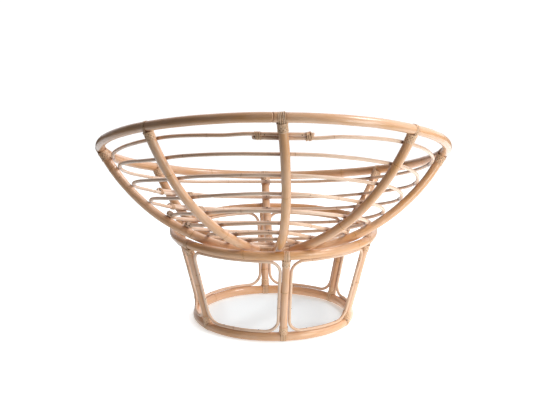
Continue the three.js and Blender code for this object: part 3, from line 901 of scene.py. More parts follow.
rib_start = HUB_POLAR + (HUB_CANE / 2 + CLEARANCE) / SPHERE_RADIUS
rib_polars = np.linspace(rib_start, RIM_POLAR, RIB_PLACES)
for number, tone in enumerate(RIB_TONES, 1):
    points = on_sphere(SPHERE_RADIUS, rib_polars, rib_azimuth(number, rib_polars))
    path = lean_path(points, unit(points))
    along = lengths_along(path[0])
    # The rib is painted with shade under its collar.
    collar = (along[-1] - RIM_CANE / 2 - RIM_COLLAR_LENGTH + COLLAR_OVERLAP, along[-1])
    rib_skin = Skin()
    rib_length = add_cane(
        rib_skin, path, RIB_CANE / 2, seed=20 + number, step=RIB_STEP, rings=RIB_RINGS.get(number),
        cuts=(square_cut, coped(RIB_CANE / 2, RIM_CANE / 2)), bound=[collar], tone=tone,
    )
    rib_skin.build(f"rib_cane_{number}", thick_cane, "bowl", "thick_cane", f"bowl_rib_{number}")
print("ribs: %d of %.3f m" % (len(RIB_TONES), rib_length))

# %% [markdown]
# A thin winding goes round the inside of the ribs, from the rim down to the hub. An even spiral
# would be one formula, but this one is nailed to one rib after another by eye, so each crossing
# has its own height: one row to a turn, as a share of the angle from the bowl's bottom to its
# rim. None of them may run into a rib's collar.
# %% Where the winding crosses the ribs
WINDING_CANE = 0.011
WINDING_FIRST_RIB = 7
WINDING_SHARES = (
    (0.93, 0.93, 0.9042, 0.9263, 0.9143, 0.9205, 0.93, 0.8966),
    (0.8733, 0.8305, 0.8181, 0.8133, 0.7934, 0.8056, 0.8104, 0.7989),
    (0.7653, 0.7175, 0.706, 0.6974, 0.6821, 0.7022, 0.7127, 0.6792),
    (0.6504, 0.5988, 0.5978, 0.5777, 0.5701, 0.5662, 0.58, 0.5614),
    (0.5322, 0.4848, 0.4781, 0.4657, 0.475, 0.4647, 0.47, 0.455),
    (0.434, 0.3776, 0.3747, 0.3469, 0.36, 0.355, 0.36, 0.345),
    (0.32, 0.2713, 0.2742, 0.2397, 0.25, 0.25, 0.25, 0.24),
    (0.22, 0.1765, 0.185, 0.145, 0.15, 0.15, 0.15, 0.145),
)
COLLAR_REACH = (RIM_CANE / 2 + RIM_COLLAR_LENGTH + CLEARANCE + WINDING_CANE / 2) / SPHERE_RADIUS


def winding_crossings():
    """Where the winding crosses the ribs, in order: azimuths and polar angles."""
    place = WINDING_FIRST_RIB - 1 + np.arange(np.size(WINDING_SHARES))
    polars = np.minimum(np.ravel(WINDING_SHARES) * RIM_POLAR, RIM_POLAR - COLLAR_REACH)
    numbers = place % len(RIB_ANGLES) + 1
    azimuths = [float(rib_azimuth(number, polar)) for number, polar in zip(numbers, polars)]
    return np.array(azimuths) + FULL_TURN * (place // len(RIB_ANGLES)), polars


CROSSED_AZIMUTHS, CROSSED_POLARS = winding_crossings()
print("winding: %d crossings in %d turns" % (len(CROSSED_AZIMUTHS), len(WINDING_SHARES)))

# %% [markdown]
# No stem is long enough for the whole winding, so it is made of lengths. Where two of them meet,
# they run side by side over a lap that is centred on a rib. One line gives the middle of the
# winding, and each length only adds its own small shift near its laps: below the line where it
# starts, and above it where it ends.
# %% Laps of the winding
SPLICE_CROSSINGS = (2, 15, 23, 32, 40)
SPLICE_LAPS = (0.170, 0.170, 0.170, 0.100, 0.100)
LAP_RAMP = 0.090
WINDING_SPHERE = SPHERE_RADIUS - RIB_CANE / 2 - CLEARANCE - WINDING_CANE / 2
LAP_OFFSET = (WINDING_CANE / 2 + CLEARANCE / 2) / WINDING_SPHERE


def ease(share):
    """A smooth step from 0 to 1."""
    return share * share * (3 - 2 * share)


def even_polar(azimuth):
    """The polar angle of the winding's middle, smooth from each crossing to the next."""
    after = np.searchsorted(CROSSED_AZIMUTHS, azimuth, side="right").clip(1, len(CROSSED_AZIMUTHS) - 1)
    before = CROSSED_AZIMUTHS[after - 1]
    share = np.clip((azimuth - before) / (CROSSED_AZIMUTHS[after] - before), 0, 1)
    return CROSSED_POLARS[after - 1] + ease(share) * (CROSSED_POLARS[after] - CROSSED_POLARS[after - 1])


def winding_radius(azimuth):
    """How far the winding is from the bowl's axis."""
    return WINDING_SPHERE * math.sin(float(even_polar(azimuth)))


def splice_place(crossing, lap):
    """The numbers that say where a splice's lap lies."""
    middle = CROSSED_AZIMUTHS[crossing]
    radius = winding_radius(middle)
    half = lap / 2 / radius
    return {"radius": radius, "start": middle - half, "end": middle + half, "ramp": LAP_RAMP / radius}


def winding_polar(index, azimuth):
    """The polar angle of a length: it starts below the line over its first lap, and ends above it."""
    low = high = 0.0
    if index:
        before = SPLICES[index - 1]
        low = np.clip(1 - (azimuth - before["end"]) / before["ramp"], 0, 1)
    if index < len(SPLICES):
        after = SPLICES[index]
        high = np.clip(1 - (after["start"] - azimuth) / after["ramp"], 0, 1)
    return even_polar(azimuth) + LAP_OFFSET * (ease(high) - ease(low))


SPLICES = [splice_place(crossing, lap) for crossing, lap in zip(SPLICE_CROSSINGS, SPLICE_LAPS)]
print("laps, from the bowl's axis:", [round(splice["radius"], 3) for splice in SPLICES])

# %% [markdown]
# Each length of the winding is one cane. It gets a brown stain at each rib it crosses, where the
# nail's iron and the dust have marked the wood, which also stands in as painted contact shade, and
# it is painted with shade under the wraps of its laps. Both are found as azimuths and then read
# off as distances along the cane.
# %% Winding
WINDING_OVERRUN = 0.030
WINDING_SIDES = 16
WINDING_STEP = 0.008
THIN_WANDER = 0.0006
WINDING_END_SLOPES = (0.5, 0.4)
WRAP_LENGTH = 0.020
WRAP_INSET = 0.015


def winding_ends(index):
    """Where a length of the winding starts and ends."""
    first, last = CROSSED_AZIMUTHS[0], CROSSED_AZIMUTHS[-1]
    start = SPLICES[index - 1]["start"] if index else first - WINDING_OVERRUN / winding_radius(first)
    if index < len(SPLICES):
        return start, SPLICES[index]["end"]
    return start, last + WINDING_OVERRUN / winding_radius(last)


def wrap_middle(index, place):
    """Where the wrap at the start (0) or the end (1) of a splice's lap has its middle."""
    splice = SPLICES[index]
    return splice["end" if place else "start"] + (1 - 2 * place) * WRAP_INSET / splice["radius"]


def wrap_stretches(index):
    """The stretches of a length that lie under its wraps, as azimuths."""
    stretches = []
    for splice in range(max(index - 1, 0), min(index + 1, len(SPLICES))):
        half = WRAP_LENGTH / 2 / SPLICES[splice]["radius"]
        for place in (0, 1):
            stretches.append((wrap_middle(splice, place) - half, wrap_middle(splice, place) + half))
    return stretches


winding_total = 0.0
winding_cuts = [sloped(WINDING_CANE / 2, slope) for slope in WINDING_END_SLOPES]
for index in range(len(SPLICES) + 1):
    start, end = winding_ends(index)
    azimuth = np.linspace(start, end, math.ceil(DENSE_TURN * (end - start) / FULL_TURN))
    points = on_sphere(WINDING_SPHERE, winding_polar(index, azimuth), azimuth)
    along = lengths_along(points)
    crossed = CROSSED_AZIMUTHS[(CROSSED_AZIMUTHS > start) & (CROSSED_AZIMUTHS < end)]
    tied = [np.interp(wrap, azimuth, along) for wrap in wrap_stretches(index)]
    winding_skin = Skin()
    winding_total += add_cane(
        winding_skin, lean_path(points, unit(points)), WINDING_CANE / 2, seed=40 + index,
        step=WINDING_STEP, sides=WINDING_SIDES, wander=THIN_WANDER, cuts=winding_cuts,
        stain_and_shade_spots=np.interp(crossed, azimuth, along), bound=tied,
    )
    name = f"winding_cane_{index + 1}"
    winding_skin.build(name, thin_cane, "bowl", "thin_cane", f"bowl_winding_{index + 1}")
print("winding: %d lengths, %.2f m of cane in all" % (len(SPLICES) + 1, winding_total))

# %% [markdown]
# The ribs' inner ends butt against a small ring that is wrapped all round with peel, so that no
# end of cane can catch the cushion. A striped texture on a torus would look flat at its edge, so
# the wrap is one long strip wound round and round a circle: as its place runs along the ring, it
# turns about the ring's section at a steady rate.
# %% Hub ring
HUB_WRAP_WIDTH = 0.0046
HUB_WRAP_THICKNESS = 0.0009
HUB_WRAP_SPREAD = 1.04
HUB_WRAP_STEPS = 14
HUB_SIDES = 12

hub_height = -SPHERE_RADIUS * math.cos(HUB_POLAR)
hub_core = HUB_CANE / 2 - HUB_WRAP_THICKNESS
hub_turns = round(FULL_TURN * HUB_RADIUS / (HUB_WRAP_WIDTH * HUB_WRAP_SPREAD))
travel = np.linspace(0, FULL_TURN, hub_turns * HUB_WRAP_STEPS, endpoint=False)
winding = travel * hub_turns
wrap_radius = hub_core + HUB_WRAP_THICKNESS / 2
wrap_reach = HUB_RADIUS + wrap_radius * np.cos(winding)
points = around_axis(wrap_reach, travel, hub_height + wrap_radius * np.sin(winding))
facings = around_axis(np.cos(winding), travel, np.sin(winding))
hub_skin = Skin()
add_strip(hub_skin, *lean_path(points, facings), HUB_WRAP_WIDTH, HUB_WRAP_THICKNESS, seed=61, closed=True)
core_path = lean_path(*circle_path(HUB_RADIUS, hub_height, 0.0))
add_cane(hub_skin, core_path, hub_core, seed=62, sides=HUB_SIDES, rings=[], wander=0.0)
hub_skin.build("hub_ring", peel, "bowl", "cane_peel", "bowl_hub_ring")
print("hub: %d turns of peel" % hub_turns)

# %% [markdown]
# The stand has a ring at the top and a smaller one on the floor. They are bent like the rim, and
# their joints sit behind a post, where they hardly show. The upper one is the more golden of the
# two in the photograph, and a tone says so.
# %% Stand rings
POST_ANGLES = [math.radians(angle) for angle in (7, 66, 128, 186.4, 257, 305)]
POST_STRIPS = 4
TOP_RING_TONE = 0.9
FLOOR_RING_TONE = 0.45


def stand_ring(name, radius, height, joint, tone, seed):
    """One ring of the stand, from a single bent stem. Returns its length."""
    points, facings = circle_path(radius, height, joint)
    # The ring is painted with shade under the posts' strips.
    tied = tied_on_ring(radius, joint, POST_ANGLES, [POST_STRIPS] * len(POST_ANGLES))
    skin = Skin()
    length = add_cane(
        skin, (points + STAND_AXIS, facings), RING_CANE / 2, seed, wander=RING_WANDER,
        cuts=butted(RING_CANE / 2, JOINT_SLOPE), bound=tied, tone=tone,
    )
    skin.build(name + "_cane", thick_cane, "stand", "thick_cane", name)
    return length


top_length = stand_ring(
    "stand_top_ring", TOP_RING_RADIUS, TOP_RING_HEIGHT, POST_ANGLES[3], TOP_RING_TONE, seed=71
)
floor_length = stand_ring(
    "stand_bottom_ring", BOTTOM_RING_RADIUS, BOTTOM_RING_HEIGHT, POST_ANGLES[2], FLOOR_RING_TONE, seed=72
)
print("top ring: %.3f m, floor ring: %.3f m" % (top_length, floor_length))

# %% [markdown]
# Six posts slant between the rings. They are not evenly spaced, as the photograph shows. All of
# them lie in one cone, so a place on a post is an azimuth and a distance up the cone's slope.
# Each post is coped at both ends, like a rib.
# %% Posts
POST_CANE = 0.024
POST_COLLAR_LENGTH = 0.022
POST_TONE = 0.1
POST_RINGS = {1: (0.166,), 2: (0.148,), 4: (0.07,), 6: (0.148,)}
POST_PLACES = 60
POST_STEP = 0.006
POST_LEAN = math.atan2(TOP_RING_RADIUS - BOTTOM_RING_RADIUS, TOP_RING_HEIGHT - BOTTOM_RING_HEIGHT)
SLANT_LENGTH = math.hypot(TOP_RING_RADIUS - BOTTOM_RING_RADIUS, TOP_RING_HEIGHT - BOTTOM_RING_HEIGHT)


def on_slant(azimuth, distance):
    """A place on the cone that the posts lie in, by the distance up its slope."""
    radius = BOTTOM_RING_RADIUS + distance * math.sin(POST_LEAN)
    return around_axis(radius, azimuth, BOTTOM_RING_HEIGHT + distance * math.cos(POST_LEAN)) + STAND_AXIS


def slant_outward(azimuth):
    """The direction straight out of that cone."""
    return around_axis(math.cos(POST_LEAN), azimuth, -math.sin(POST_LEAN))


distances = np.linspace(0, SLANT_LENGTH, POST_PLACES)
post_cut = coped(POST_CANE / 2, RING_CANE / 2)
tie_reach = RING_CANE / 2 + POST_COLLAR_LENGTH - COLLAR_OVERLAP
# Each post is painted with shade under its collars at both ends.
post_ties = [(0, tie_reach), (SLANT_LENGTH - tie_reach, SLANT_LENGTH)]
for number, azimuth in enumerate(POST_ANGLES, 1):
    facings = np.repeat(slant_outward(azimuth)[None], len(distances), axis=0)
    post_skin = Skin()
    add_cane(
        post_skin, (on_slant(azimuth, distances), facings), POST_CANE / 2, seed=80 + number, step=POST_STEP,
        rings=POST_RINGS.get(number), wander=THIN_WANDER, cuts=(post_cut, post_cut), bound=post_ties,
        tone=POST_TONE,
    )
    post_skin.build(f"post_cane_{number}", thick_cane, "stand", "thick_cane", f"stand_post_{number}")
print("posts: %d of %.3f m between ring middles" % (len(POST_ANGLES), SLANT_LENGTH))

# %% [markdown]
# Inside each bay a thin cane is bent into a loop with round corners, tight against both posts
# and both rings. It stiffens the stand, as a knee brace does. A curve drawn through hand-set
# points would do, but its places are worked out flat on the cone instead, and so touch what they
# should: how far up the slope, and how far across from a post's middle. The two ends meet at the
# middle of the floor ring.
# %% Where a loop runs
LOOP_CANE = 0.010
LOOP_CORNER_RADIUS = 0.040
LOOP_JOINT_GAP = 0.0006
CORNER_STEPS = 12
SIDE_STEPS = 24


def loop_path(left, right):
    """A loop in the bay between two posts, as points and facings."""
    side_offset = POST_CANE / 2 + CLEARANCE + LOOP_CANE / 2
    low = RING_CANE / 2 + CLEARANCE + LOOP_CANE / 2
    high = SLANT_LENGTH - low
    slant_radius = lambda distance: BOTTOM_RING_RADIUS + distance * math.sin(POST_LEAN)
    places = []

    def corner(post, towards, edge, inward, going_up):
        for i in range(CORNER_STEPS + 1):
            bend = (i if going_up else CORNER_STEPS - i) / CORNER_STEPS * math.pi / 2
            across = side_offset + LOOP_CORNER_RADIUS * (1 - math.sin(bend))
            distance = edge + inward * LOOP_CORNER_RADIUS * (1 - math.cos(bend))
            places.append((post + towards * across / slant_radius(distance), distance))

    def run(target):
        start = places[-1]
        for i in range(1, SIDE_STEPS):
            share = i / SIDE_STEPS
            places.append(tuple(a + share * (b - a) for a, b in zip(start, target)))

    joint = LOOP_JOINT_GAP / 2 / slant_radius(low)
    middle = (left + right) / 2
    reach = side_offset + LOOP_CORNER_RADIUS
    places.append((middle + joint, low))
    run((right - reach / slant_radius(low), low))
    corner(right, -1, low, 1, True)
    run((right - side_offset / slant_radius(high - LOOP_CORNER_RADIUS), high - LOOP_CORNER_RADIUS))
    corner(right, -1, high, -1, False)
    run((left + reach / slant_radius(high), high))
    corner(left, 1, high, -1, True)
    run((left + side_offset / slant_radius(low + LOOP_CORNER_RADIUS), low + LOOP_CORNER_RADIUS))
    corner(left, 1, low, 1, False)
    run((middle - joint, low))
    places.append((middle - joint, low))
    azimuth, distance = np.array(places).T
    return on_slant(azimuth, distance), slant_outward(azimuth)


later_posts = POST_ANGLES[1:] + [POST_ANGLES[0] + FULL_TURN]
loop_paths = [loop_path(left, right) for left, right in zip(POST_ANGLES, later_posts)]
print("loops:", len(loop_paths), "with", len(loop_paths[0][0]), "places each")

# %% [markdown]
# The loops are thin canes on those paths. The posts and rings hold them tight all round, so
# they wander least of all the canes. Their ends are cut on a slant, like the rim's.
# %% Loops in the bays
LOOP_END_SLOPE = 0.6
LOOP_STEP = 0.005
LOOP_SIDES = 16
LOOP_WANDER = 0.0003

for number, path in enumerate(loop_paths, 1):
    loop_skin = Skin()
    loop_length = add_cane(
        loop_skin, path, LOOP_CANE / 2, seed=90 + number, step=LOOP_STEP, sides=LOOP_SIDES,
        wander=LOOP_WANDER, cuts=butted(LOOP_CANE / 2, LOOP_END_SLOPE),
    )
    loop_skin.build(f"loop_cane_{number}", thin_cane, "stand", "thin_cane", f"stand_loop_{number}")
    print("loop %d: %.3f m" % (number, loop_length))

# %% [markdown]
# A binding ties a cane's end to a ring. First a few strips of peel are laid up one side of the
# cane, over the ring and down the other side. Then a plaited collar is worked tight round the
# cane and over the ends of those strips, and a single turn finishes each edge of it. To build
# one, only a function is needed that says where the cane runs at a distance from the ring.
# %% Where the bound canes run
SMALL_ANGLE = 1e-4


def rib_reach(number):
    """Places, directions and outward directions along a rib, by the distance from the rim's middle."""

    def reach(distance):
        polar = RIM_POLAR - np.asarray(distance) / SPHERE_RADIUS
        higher = polar + SMALL_ANGLE
        points = on_sphere(SPHERE_RADIUS, polar, rib_azimuth(number, polar))
        nearer = on_sphere(SPHERE_RADIUS, higher, rib_azimuth(number, higher))
        return to_chair(points), unit(points - nearer) @ LEAN.T, unit(points) @ LEAN.T

    return reach


def post_reach(azimuth, from_top):
    """The same along a post, from the middle of the top ring or of the floor ring."""

    def reach(distance):
        distance = np.asarray(distance, float)
        points = on_slant(azimuth, SLANT_LENGTH - distance if from_top else distance)
        upward = unit(on_slant(azimuth, SLANT_LENGTH) - on_slant(azimuth, 0.0))
        along = np.broadcast_to(-upward if from_top else upward, points.shape)
        return points, along, np.broadcast_to(slant_outward(azimuth), points.shape)

    return reach


print("the first rib, 30 mm below the rim's middle:", rib_reach(1)(0.03)[0].round(4))

# %% [markdown]
# A strip over the ring runs straight along the cane, then half round the ring and back. Its side
# view is drawn first, in two directions only, and smoothed a little, since a tight strip bridges
# a sharp inner corner. Then it is set out in space.
# %% Strips over a ring
OVER_RING_STRIP = 0.0036
LEG_GAP = 0.0015
LEG_STEPS = 6
HALF_TURN_STEPS = 26
SMOOTHING = np.array((0.25, 0.5, 0.25))
SMOOTHING_ROUNDS = 2


def add_over_ring(skin, reach, ring_radius, cane_radius, leg, beside, seed):
    """One strip over the ring. beside is how far it lies to one side of the cane's middle."""
    over = ring_radius + CLEARANCE + PEEL_THICKNESS / 2
    rest = math.sqrt((cane_radius + CLEARANCE + PEEL_THICKNESS / 2) ** 2 - beside**2)
    first = math.asin(rest / over)
    turn = np.linspace(first, FULL_TURN - first, HALF_TURN_STEPS)
    down = np.linspace(leg, over * math.cos(first) + LEG_GAP, LEG_STEPS)
    distance = np.concatenate([down, over * np.cos(turn), down[::-1]])
    height = np.concatenate([np.full(LEG_STEPS, rest), over * np.sin(turn), np.full(LEG_STEPS, -rest)])
    for _ in range(SMOOTHING_ROUNDS):
        distance[1:-1] = np.convolve(distance, SMOOTHING, "valid")
        height[1:-1] = np.convolve(height, SMOOTHING, "valid")
    place, _, outward = reach(np.maximum(distance, 0.0))
    _, first_along, first_outward = reach(0.0)
    side = np.cross(first_along, first_outward)
    behind = np.minimum(distance, 0.0)[:, None] * first_along
    line = place + behind + height[:, None] * outward + beside * side
    facing = np.cross(tangents(line), side)
    add_strip(skin, line, facing, OVER_RING_STRIP, PEEL_THICKNESS, seed)


print("a strip over a ring has", 2 * LEG_STEPS + HALF_TURN_STEPS, "places")

# %% [markdown]
# The collar is plaited: strips climb round the cane both ways at 45 degrees, each going over one
# crossing and under the next. A woven texture would give no depth at the edge. The crossings lie
# at even heights, so going over and under is a cosine of the height, and the strips that turn
# the other way have the same cosine reversed.
# %% Plaited collar
PLAIT_STRIP_SHARE = 0.76
PLAIT_THICKNESS = 0.0006
PLAIT_WEAVE = 0.0003
PLAIT_STEPS_PER_CROSSING = 5
COLLAR_LAYER = 0.0008
COLLAR_FLARE = 0.0010
COLLAR_FLARE_LENGTH = 0.005
EDGE_TURN_WIDTH = 0.0030
EDGE_TURN_STEPS = 40
EDGE_SEED = 90


def add_collar(skin, reach, cane_radius, start, height, strands, seed):
    """A plaited collar round a cane, from a distance to the ring's middle, with its edge turns."""
    base = cane_radius + COLLAR_LAYER

    def wrapped(distance, angle, lift):
        place, along, outward = reach(distance)
        side = np.cross(along, outward)
        radial = np.cos(angle)[:, None] * outward + np.sin(angle)[:, None] * side
        flare = COLLAR_FLARE * np.clip(1 - (distance - start) / COLLAR_FLARE_LENGTH, 0, 1) ** 2
        return place + (base + flare + lift)[:, None] * radial, radial

    crossing = math.pi * base / strands
    count = PLAIT_STEPS_PER_CROSSING * math.ceil(height / crossing) + 1
    climb = np.linspace(0, height, count)
    width = FULL_TURN * base / strands * math.cos(math.pi / 4) * PLAIT_STRIP_SHARE
    for strand in range(strands):
        for way in (1, -1):
            angle = FULL_TURN * strand / strands + way * climb / base
            lift = way * PLAIT_WEAVE * np.cos(strands * climb / base)
            line, facing = wrapped(start + climb, angle, lift)
            add_strip(skin, line, facing, width, PLAIT_THICKNESS, seed * 100 + 2 * strand + (way > 0))
    for edge in (start, start + height - EDGE_TURN_WIDTH / 2):
        angle = np.linspace(0, FULL_TURN, EDGE_TURN_STEPS, endpoint=False)
        line, facing = wrapped(np.full(EDGE_TURN_STEPS, edge), angle, np.full(EDGE_TURN_STEPS, PLAIT_WEAVE))
        add_strip(skin, line, facing, EDGE_TURN_WIDTH, PEEL_THICKNESS, seed * 100 + EDGE_SEED, closed=True)


print("a collar's strips are %.1f mm thick" % (PLAIT_THICKNESS * 1000))

# %% [markdown]
# A whole binding is a collar and the strips that it holds down. The nearest rib is tied with
# five strips side by side, and the others with five down to two. No binder lays them quite
# evenly, so each strip may be up to 0.3 mm off its place.
# %% Rim bindings
RIM_PLAIT = 9
COLLAR_START = 0.0018
STRIP_TUCK = 0.006
STRIP_JITTER = 0.0003


def add_binding(skin, reach, ring_radius, cane_radius, collar_length, strips, strands, seed):
    """A whole binding: strips over the ring and a collar round the cane."""
    rng = np.random.default_rng(seed)
    start = ring_radius + COLLAR_START
    for i in range(strips):
        beside = (i - (strips - 1) / 2) * OVER_RING_PITCH + rng.uniform(-STRIP_JITTER, STRIP_JITTER)
        add_over_ring(skin, reach, ring_radius, cane_radius, start + STRIP_TUCK, beside, seed * 10 + i)
    add_collar(skin, reach, cane_radius, start, collar_length - COLLAR_START, strands, seed)


for number, strips in enumerate(RIM_STRIPS, 1):
    binding_skin = Skin()
    add_binding(
        binding_skin, rib_reach(number), RIM_CANE / 2, RIB_CANE / 2, RIM_COLLAR_LENGTH,
        strips, RIM_PLAIT, seed=100 + number,
    )
    binding_skin.build(f"rim_peel_{number}", peel, "bowl", "cane_peel", f"rim_binding_{number}")
    print("rim binding %d: %d strips, %d points" % (number, strips, binding_skin.count))

# %% [markdown]
# The posts are tied in the same way at both ends. The strips under the floor ring carry the
# chair, so they are worn flat: no point of them is left below the floor.
# %% Stand bindings
POST_PLAIT = 8

for number, azimuth in enumerate(POST_ANGLES, 1):
    for end, from_top in (("top", True), ("foot", False)):
        binding_skin = Skin()
        add_binding(
            binding_skin, post_reach(azimuth, from_top), RING_CANE / 2, POST_CANE / 2, POST_COLLAR_LENGTH,
            POST_STRIPS, POST_PLAIT, seed=120 + 2 * number + from_top,
        )
        for points in binding_skin.points:
            points[:, 2] = np.maximum(points[:, 2], 0.0)
        node = f"{end}_binding_{number}"
        binding_skin.build(f"{end}_peel_{number}", peel, "stand", "cane_peel", node)
print("stand bindings:", 2 * len(POST_ANGLES))

# %% [markdown]
# A splice is tied near both ends of its lap with a few turns of peel round both canes at once. A
# ready spiral turns about one round thing, and here it must go round two side by side: the
# outline that a turn follows is two half circles with straight sides, and the strip advances
# along the winding as it goes round.
# %% A strip round a lap
WRAP_STRIP = 0.0031
OUTLINE_STEPS = 8


def lap_outline():
    """Places round both canes of a lap: outward, across, and the same two parts of the normal."""
    radius = WINDING_CANE / 2 + CLEARANCE + PEEL_THICKNESS / 2
    offset = LAP_OFFSET * WINDING_SPHERE
    angle = np.linspace(0, math.pi, OUTLINE_STEPS)
    normal = np.stack([np.cos(angle), np.sin(angle)], axis=1)
    half = np.concatenate([radius * normal + (0, offset), normal], axis=1)
    return np.concatenate([half, -half])


def add_lap_strip(skin, radius, middle, turns, travel_length, lift, seed):
    """A strip round a lap. It advances by a length along the winding in a number of turns."""
    outline = lap_outline()
    count = math.ceil(abs(turns) * len(outline)) + 1
    pick = np.arange(count) % len(outline)
    if turns < 0:
        pick = pick[::-1]
    a, b, na, nb = outline[pick].T
    azimuth = middle + np.linspace(-travel_length / 2, travel_length / 2, count) / radius
    even = even_polar(azimuth)
    points = on_sphere(WINDING_SPHERE + a + lift * na, even + (b + lift * nb) / WINDING_SPHERE, azimuth)
    radial = on_sphere(1.0, even, azimuth)
    outward_polar = around_axis(np.cos(even), azimuth, np.sin(even))
    facings = na[:, None] * radial + nb[:, None] * outward_polar
    add_strip(skin, *lean_path(points, facings), WRAP_STRIP, PEEL_THICKNESS, seed)


print("a turn round a lap has", len(lap_outline()), "places")

# %% [markdown]
# At the end of each lap a strip is crossed over the turns, once one way and once the other, to
# lock them. It lies on top, so it is lifted by its own thickness, and its second turn by more.
# %% Splice wraps
WRAP_TURNS = 4
LOCK_TURNS = 0.9
LOCK_TRAVEL_SHARE = 0.8
LOCK_LIFTS = (1.0, 1.6)


def add_splice_wrap(skin, index, place, seed):
    """The wrap at the start (0) or the end (1) of a splice's lap."""
    radius = SPLICES[index]["radius"]
    middle = wrap_middle(index, place)
    length = WRAP_LENGTH - WRAP_STRIP
    add_lap_strip(skin, radius, middle, WRAP_TURNS, length, 0.0, seed)
    if place:
        travel_length = LOCK_TRAVEL_SHARE * length
        over, higher = (lift * PEEL_THICKNESS for lift in LOCK_LIFTS)
        add_lap_strip(skin, radius, middle, LOCK_TURNS, travel_length, over, seed + 1)
        add_lap_strip(skin, radius, middle, -LOCK_TURNS, travel_length, higher, seed + 2)


for index in range(len(SPLICES)):
    for place, end in enumerate(("start", "end")):
        wrap_skin = Skin()
        add_splice_wrap(wrap_skin, index, place, 160 + 6 * index + 3 * place)
        name = f"splice_peel_{index + 1}_{end}"
        wrap_skin.build(name, peel, "bowl", "cane_peel", f"splice_wrap_{index + 1}_{end}")
print("splice wraps:", 2 * len(SPLICES))

# %% [markdown]
# Nails hold it all: one through every crossing of winding and rib, driven from inside the bowl,
# a pair where two lengths lie side by side, and two brads through each lap from outside. Only
# their heads show. A flattened ball would do for a head, but would spend its points on a side
# that nobody sees, so it is a low dome of four rings of points.
# %% Nails in the bowl
HEAD_PROFILE = ((1.0, -0.25), (1.0, 0.35), (0.8, 0.8), (0.4, 1.0))
HEAD_SIDES = 12
HEAD_POINTS = HEAD_SIDES * len(HEAD_PROFILE)
WINDING_HEAD = (0.0024, 0.0009)
BRAD_HEAD = (0.0016, 0.0006)
LAP_NAIL_SHARES = (0.2, 0.8)
ANY_DIRECTION = (0.31, 0.17, 0.93)


def add_head(skin, place, normal, size):
    """A domed head at a place, facing along a normal. size is its radius and its height."""
    radius, height = size
    normal = unit(normal)
    side = unit(np.cross(normal, ANY_DIRECTION))
    across = np.cross(normal, side)
    angle = np.arange(HEAD_SIDES) * FULL_TURN / HEAD_SIDES
    circle = np.cos(angle)[:, None] * side + np.sin(angle)[:, None] * across
    rings = [place + radius * share * circle + height * rise * normal for share, rise in HEAD_PROFILE]
    rings = np.stack(rings)
    skin.add(rings, rings)


bowl_nails = Skin()
for crossing, (azimuth, polar) in enumerate(zip(CROSSED_AZIMUTHS, CROSSED_POLARS)):
    offsets = (LAP_OFFSET, -LAP_OFFSET) if crossing in SPLICE_CROSSINGS else (0.0,)
    for offset in offsets:
        inward = -on_sphere(1.0, polar + offset, azimuth)
        place = on_sphere(WINDING_SPHERE - WINDING_CANE / 2, polar + offset, azimuth)
        add_head(bowl_nails, to_chair(place), inward @ LEAN.T, WINDING_HEAD)
for splice in SPLICES:
    for share in LAP_NAIL_SHARES:
        azimuth = splice["start"] + share * (splice["end"] - splice["start"])
        polar = float(even_polar(azimuth)) + LAP_OFFSET
        outward = on_sphere(1.0, polar, azimuth)
        place = on_sphere(WINDING_SPHERE + WINDING_CANE / 2, polar, azimuth)
        add_head(bowl_nails, to_chair(place), outward @ LEAN.T, BRAD_HEAD)
bowl_nails.build("bowl_nail_heads", iron, "bowl", None)
print("nail heads in the bowl:", bowl_nails.count // HEAD_POINTS)

# %% [markdown]
# Brads pin each loop to its posts and rings. They are driven from inside the loop, so a head
# faces the middle of its bay. Their places are shares of the loop's length, from its joint.
# %% Brads in the loops
LOOP_NAIL_SHARES = (0.06, 0.22, 0.31, 0.42, 0.56, 0.72, 0.81, 0.94)

stand_nails = Skin()
for points, facings in loop_paths:
    along = lengths_along(points)
    direction = tangents(points)
    middle = points.mean(axis=0)
    for share in LOOP_NAIL_SHARES:
        i = int(np.searchsorted(along, share * along[-1]))
        inward = np.cross(facings[i], direction[i])
        inward = inward if np.dot(inward, middle - points[i]) > 0 else -inward
        add_head(stand_nails, points[i] + inward * LOOP_CANE / 2, inward, BRAD_HEAD)
stand_nails.build("stand_nail_heads", iron, "stand", None)
print("brad heads in the stand:", stand_nails.count // HEAD_POINTS)

# %% [markdown]
# The photograph is a plain studio picture on white. The floor is one flat disc, so wide that its
# edge never shows. It isn't part of the chair, so it rides on no body and belongs to the stage.
# %% Floor
FLOOR_RADIUS = 40.0
FLOOR_SIDES = 96

corner_angle = np.arange(FLOOR_SIDES) * FULL_TURN / FLOOR_SIDES
floor_points = around_axis(FLOOR_RADIUS, corner_angle, 0.0)
floor_mesh = bpy.data.meshes.new("studio_floor")
floor_mesh.from_pydata(floor_points.tolist(), [], [list(range(FLOOR_SIDES))])
floor = bpy.data.objects.new("studio_floor", floor_mesh)
bpy.context.collection.objects.link(floor)
print("floor:", 2 * FLOOR_RADIUS, "m across")

# %% [markdown]
# White paper lies under the chair and ends a little nearer than it, so the low canes and the far
# ones get its light, while the near rim stays dark at the left. Lamps strong enough to turn the
# paper white would bleach the cane. So what the camera sees of the paper glows by itself, and it
# glows less inside the floor ring: a painted soft shadow that sets the chair down. The light that
# the paper throws back has its own strength, and more of it comes from the lamps' side, at the right.
# %% Paper
WHITE = (1.0, 1.0, 1.0, 1.0)
PAPER_PLACE = (0.0, -0.8, 0.0)
PAPER_REACH = (1.5, 2.2)
PAPER_COLOUR = (0.78, 0.88, 0.93, 1.0)
PAPER_ROUGHNESS = 0.9
FLOOR_COLOUR = (0.12, 0.12, 0.12, 1.0)
PAPER_GLOW = 0.80
PAINTED_SHADOW_GLOW = 0.25
PAINTED_SHADOW_REACH = (0.22, 0.30)
PAPER_LIGHT = (0.36, 0.7)
PAPER_LIGHT_REACH = (0.2, -0.9)

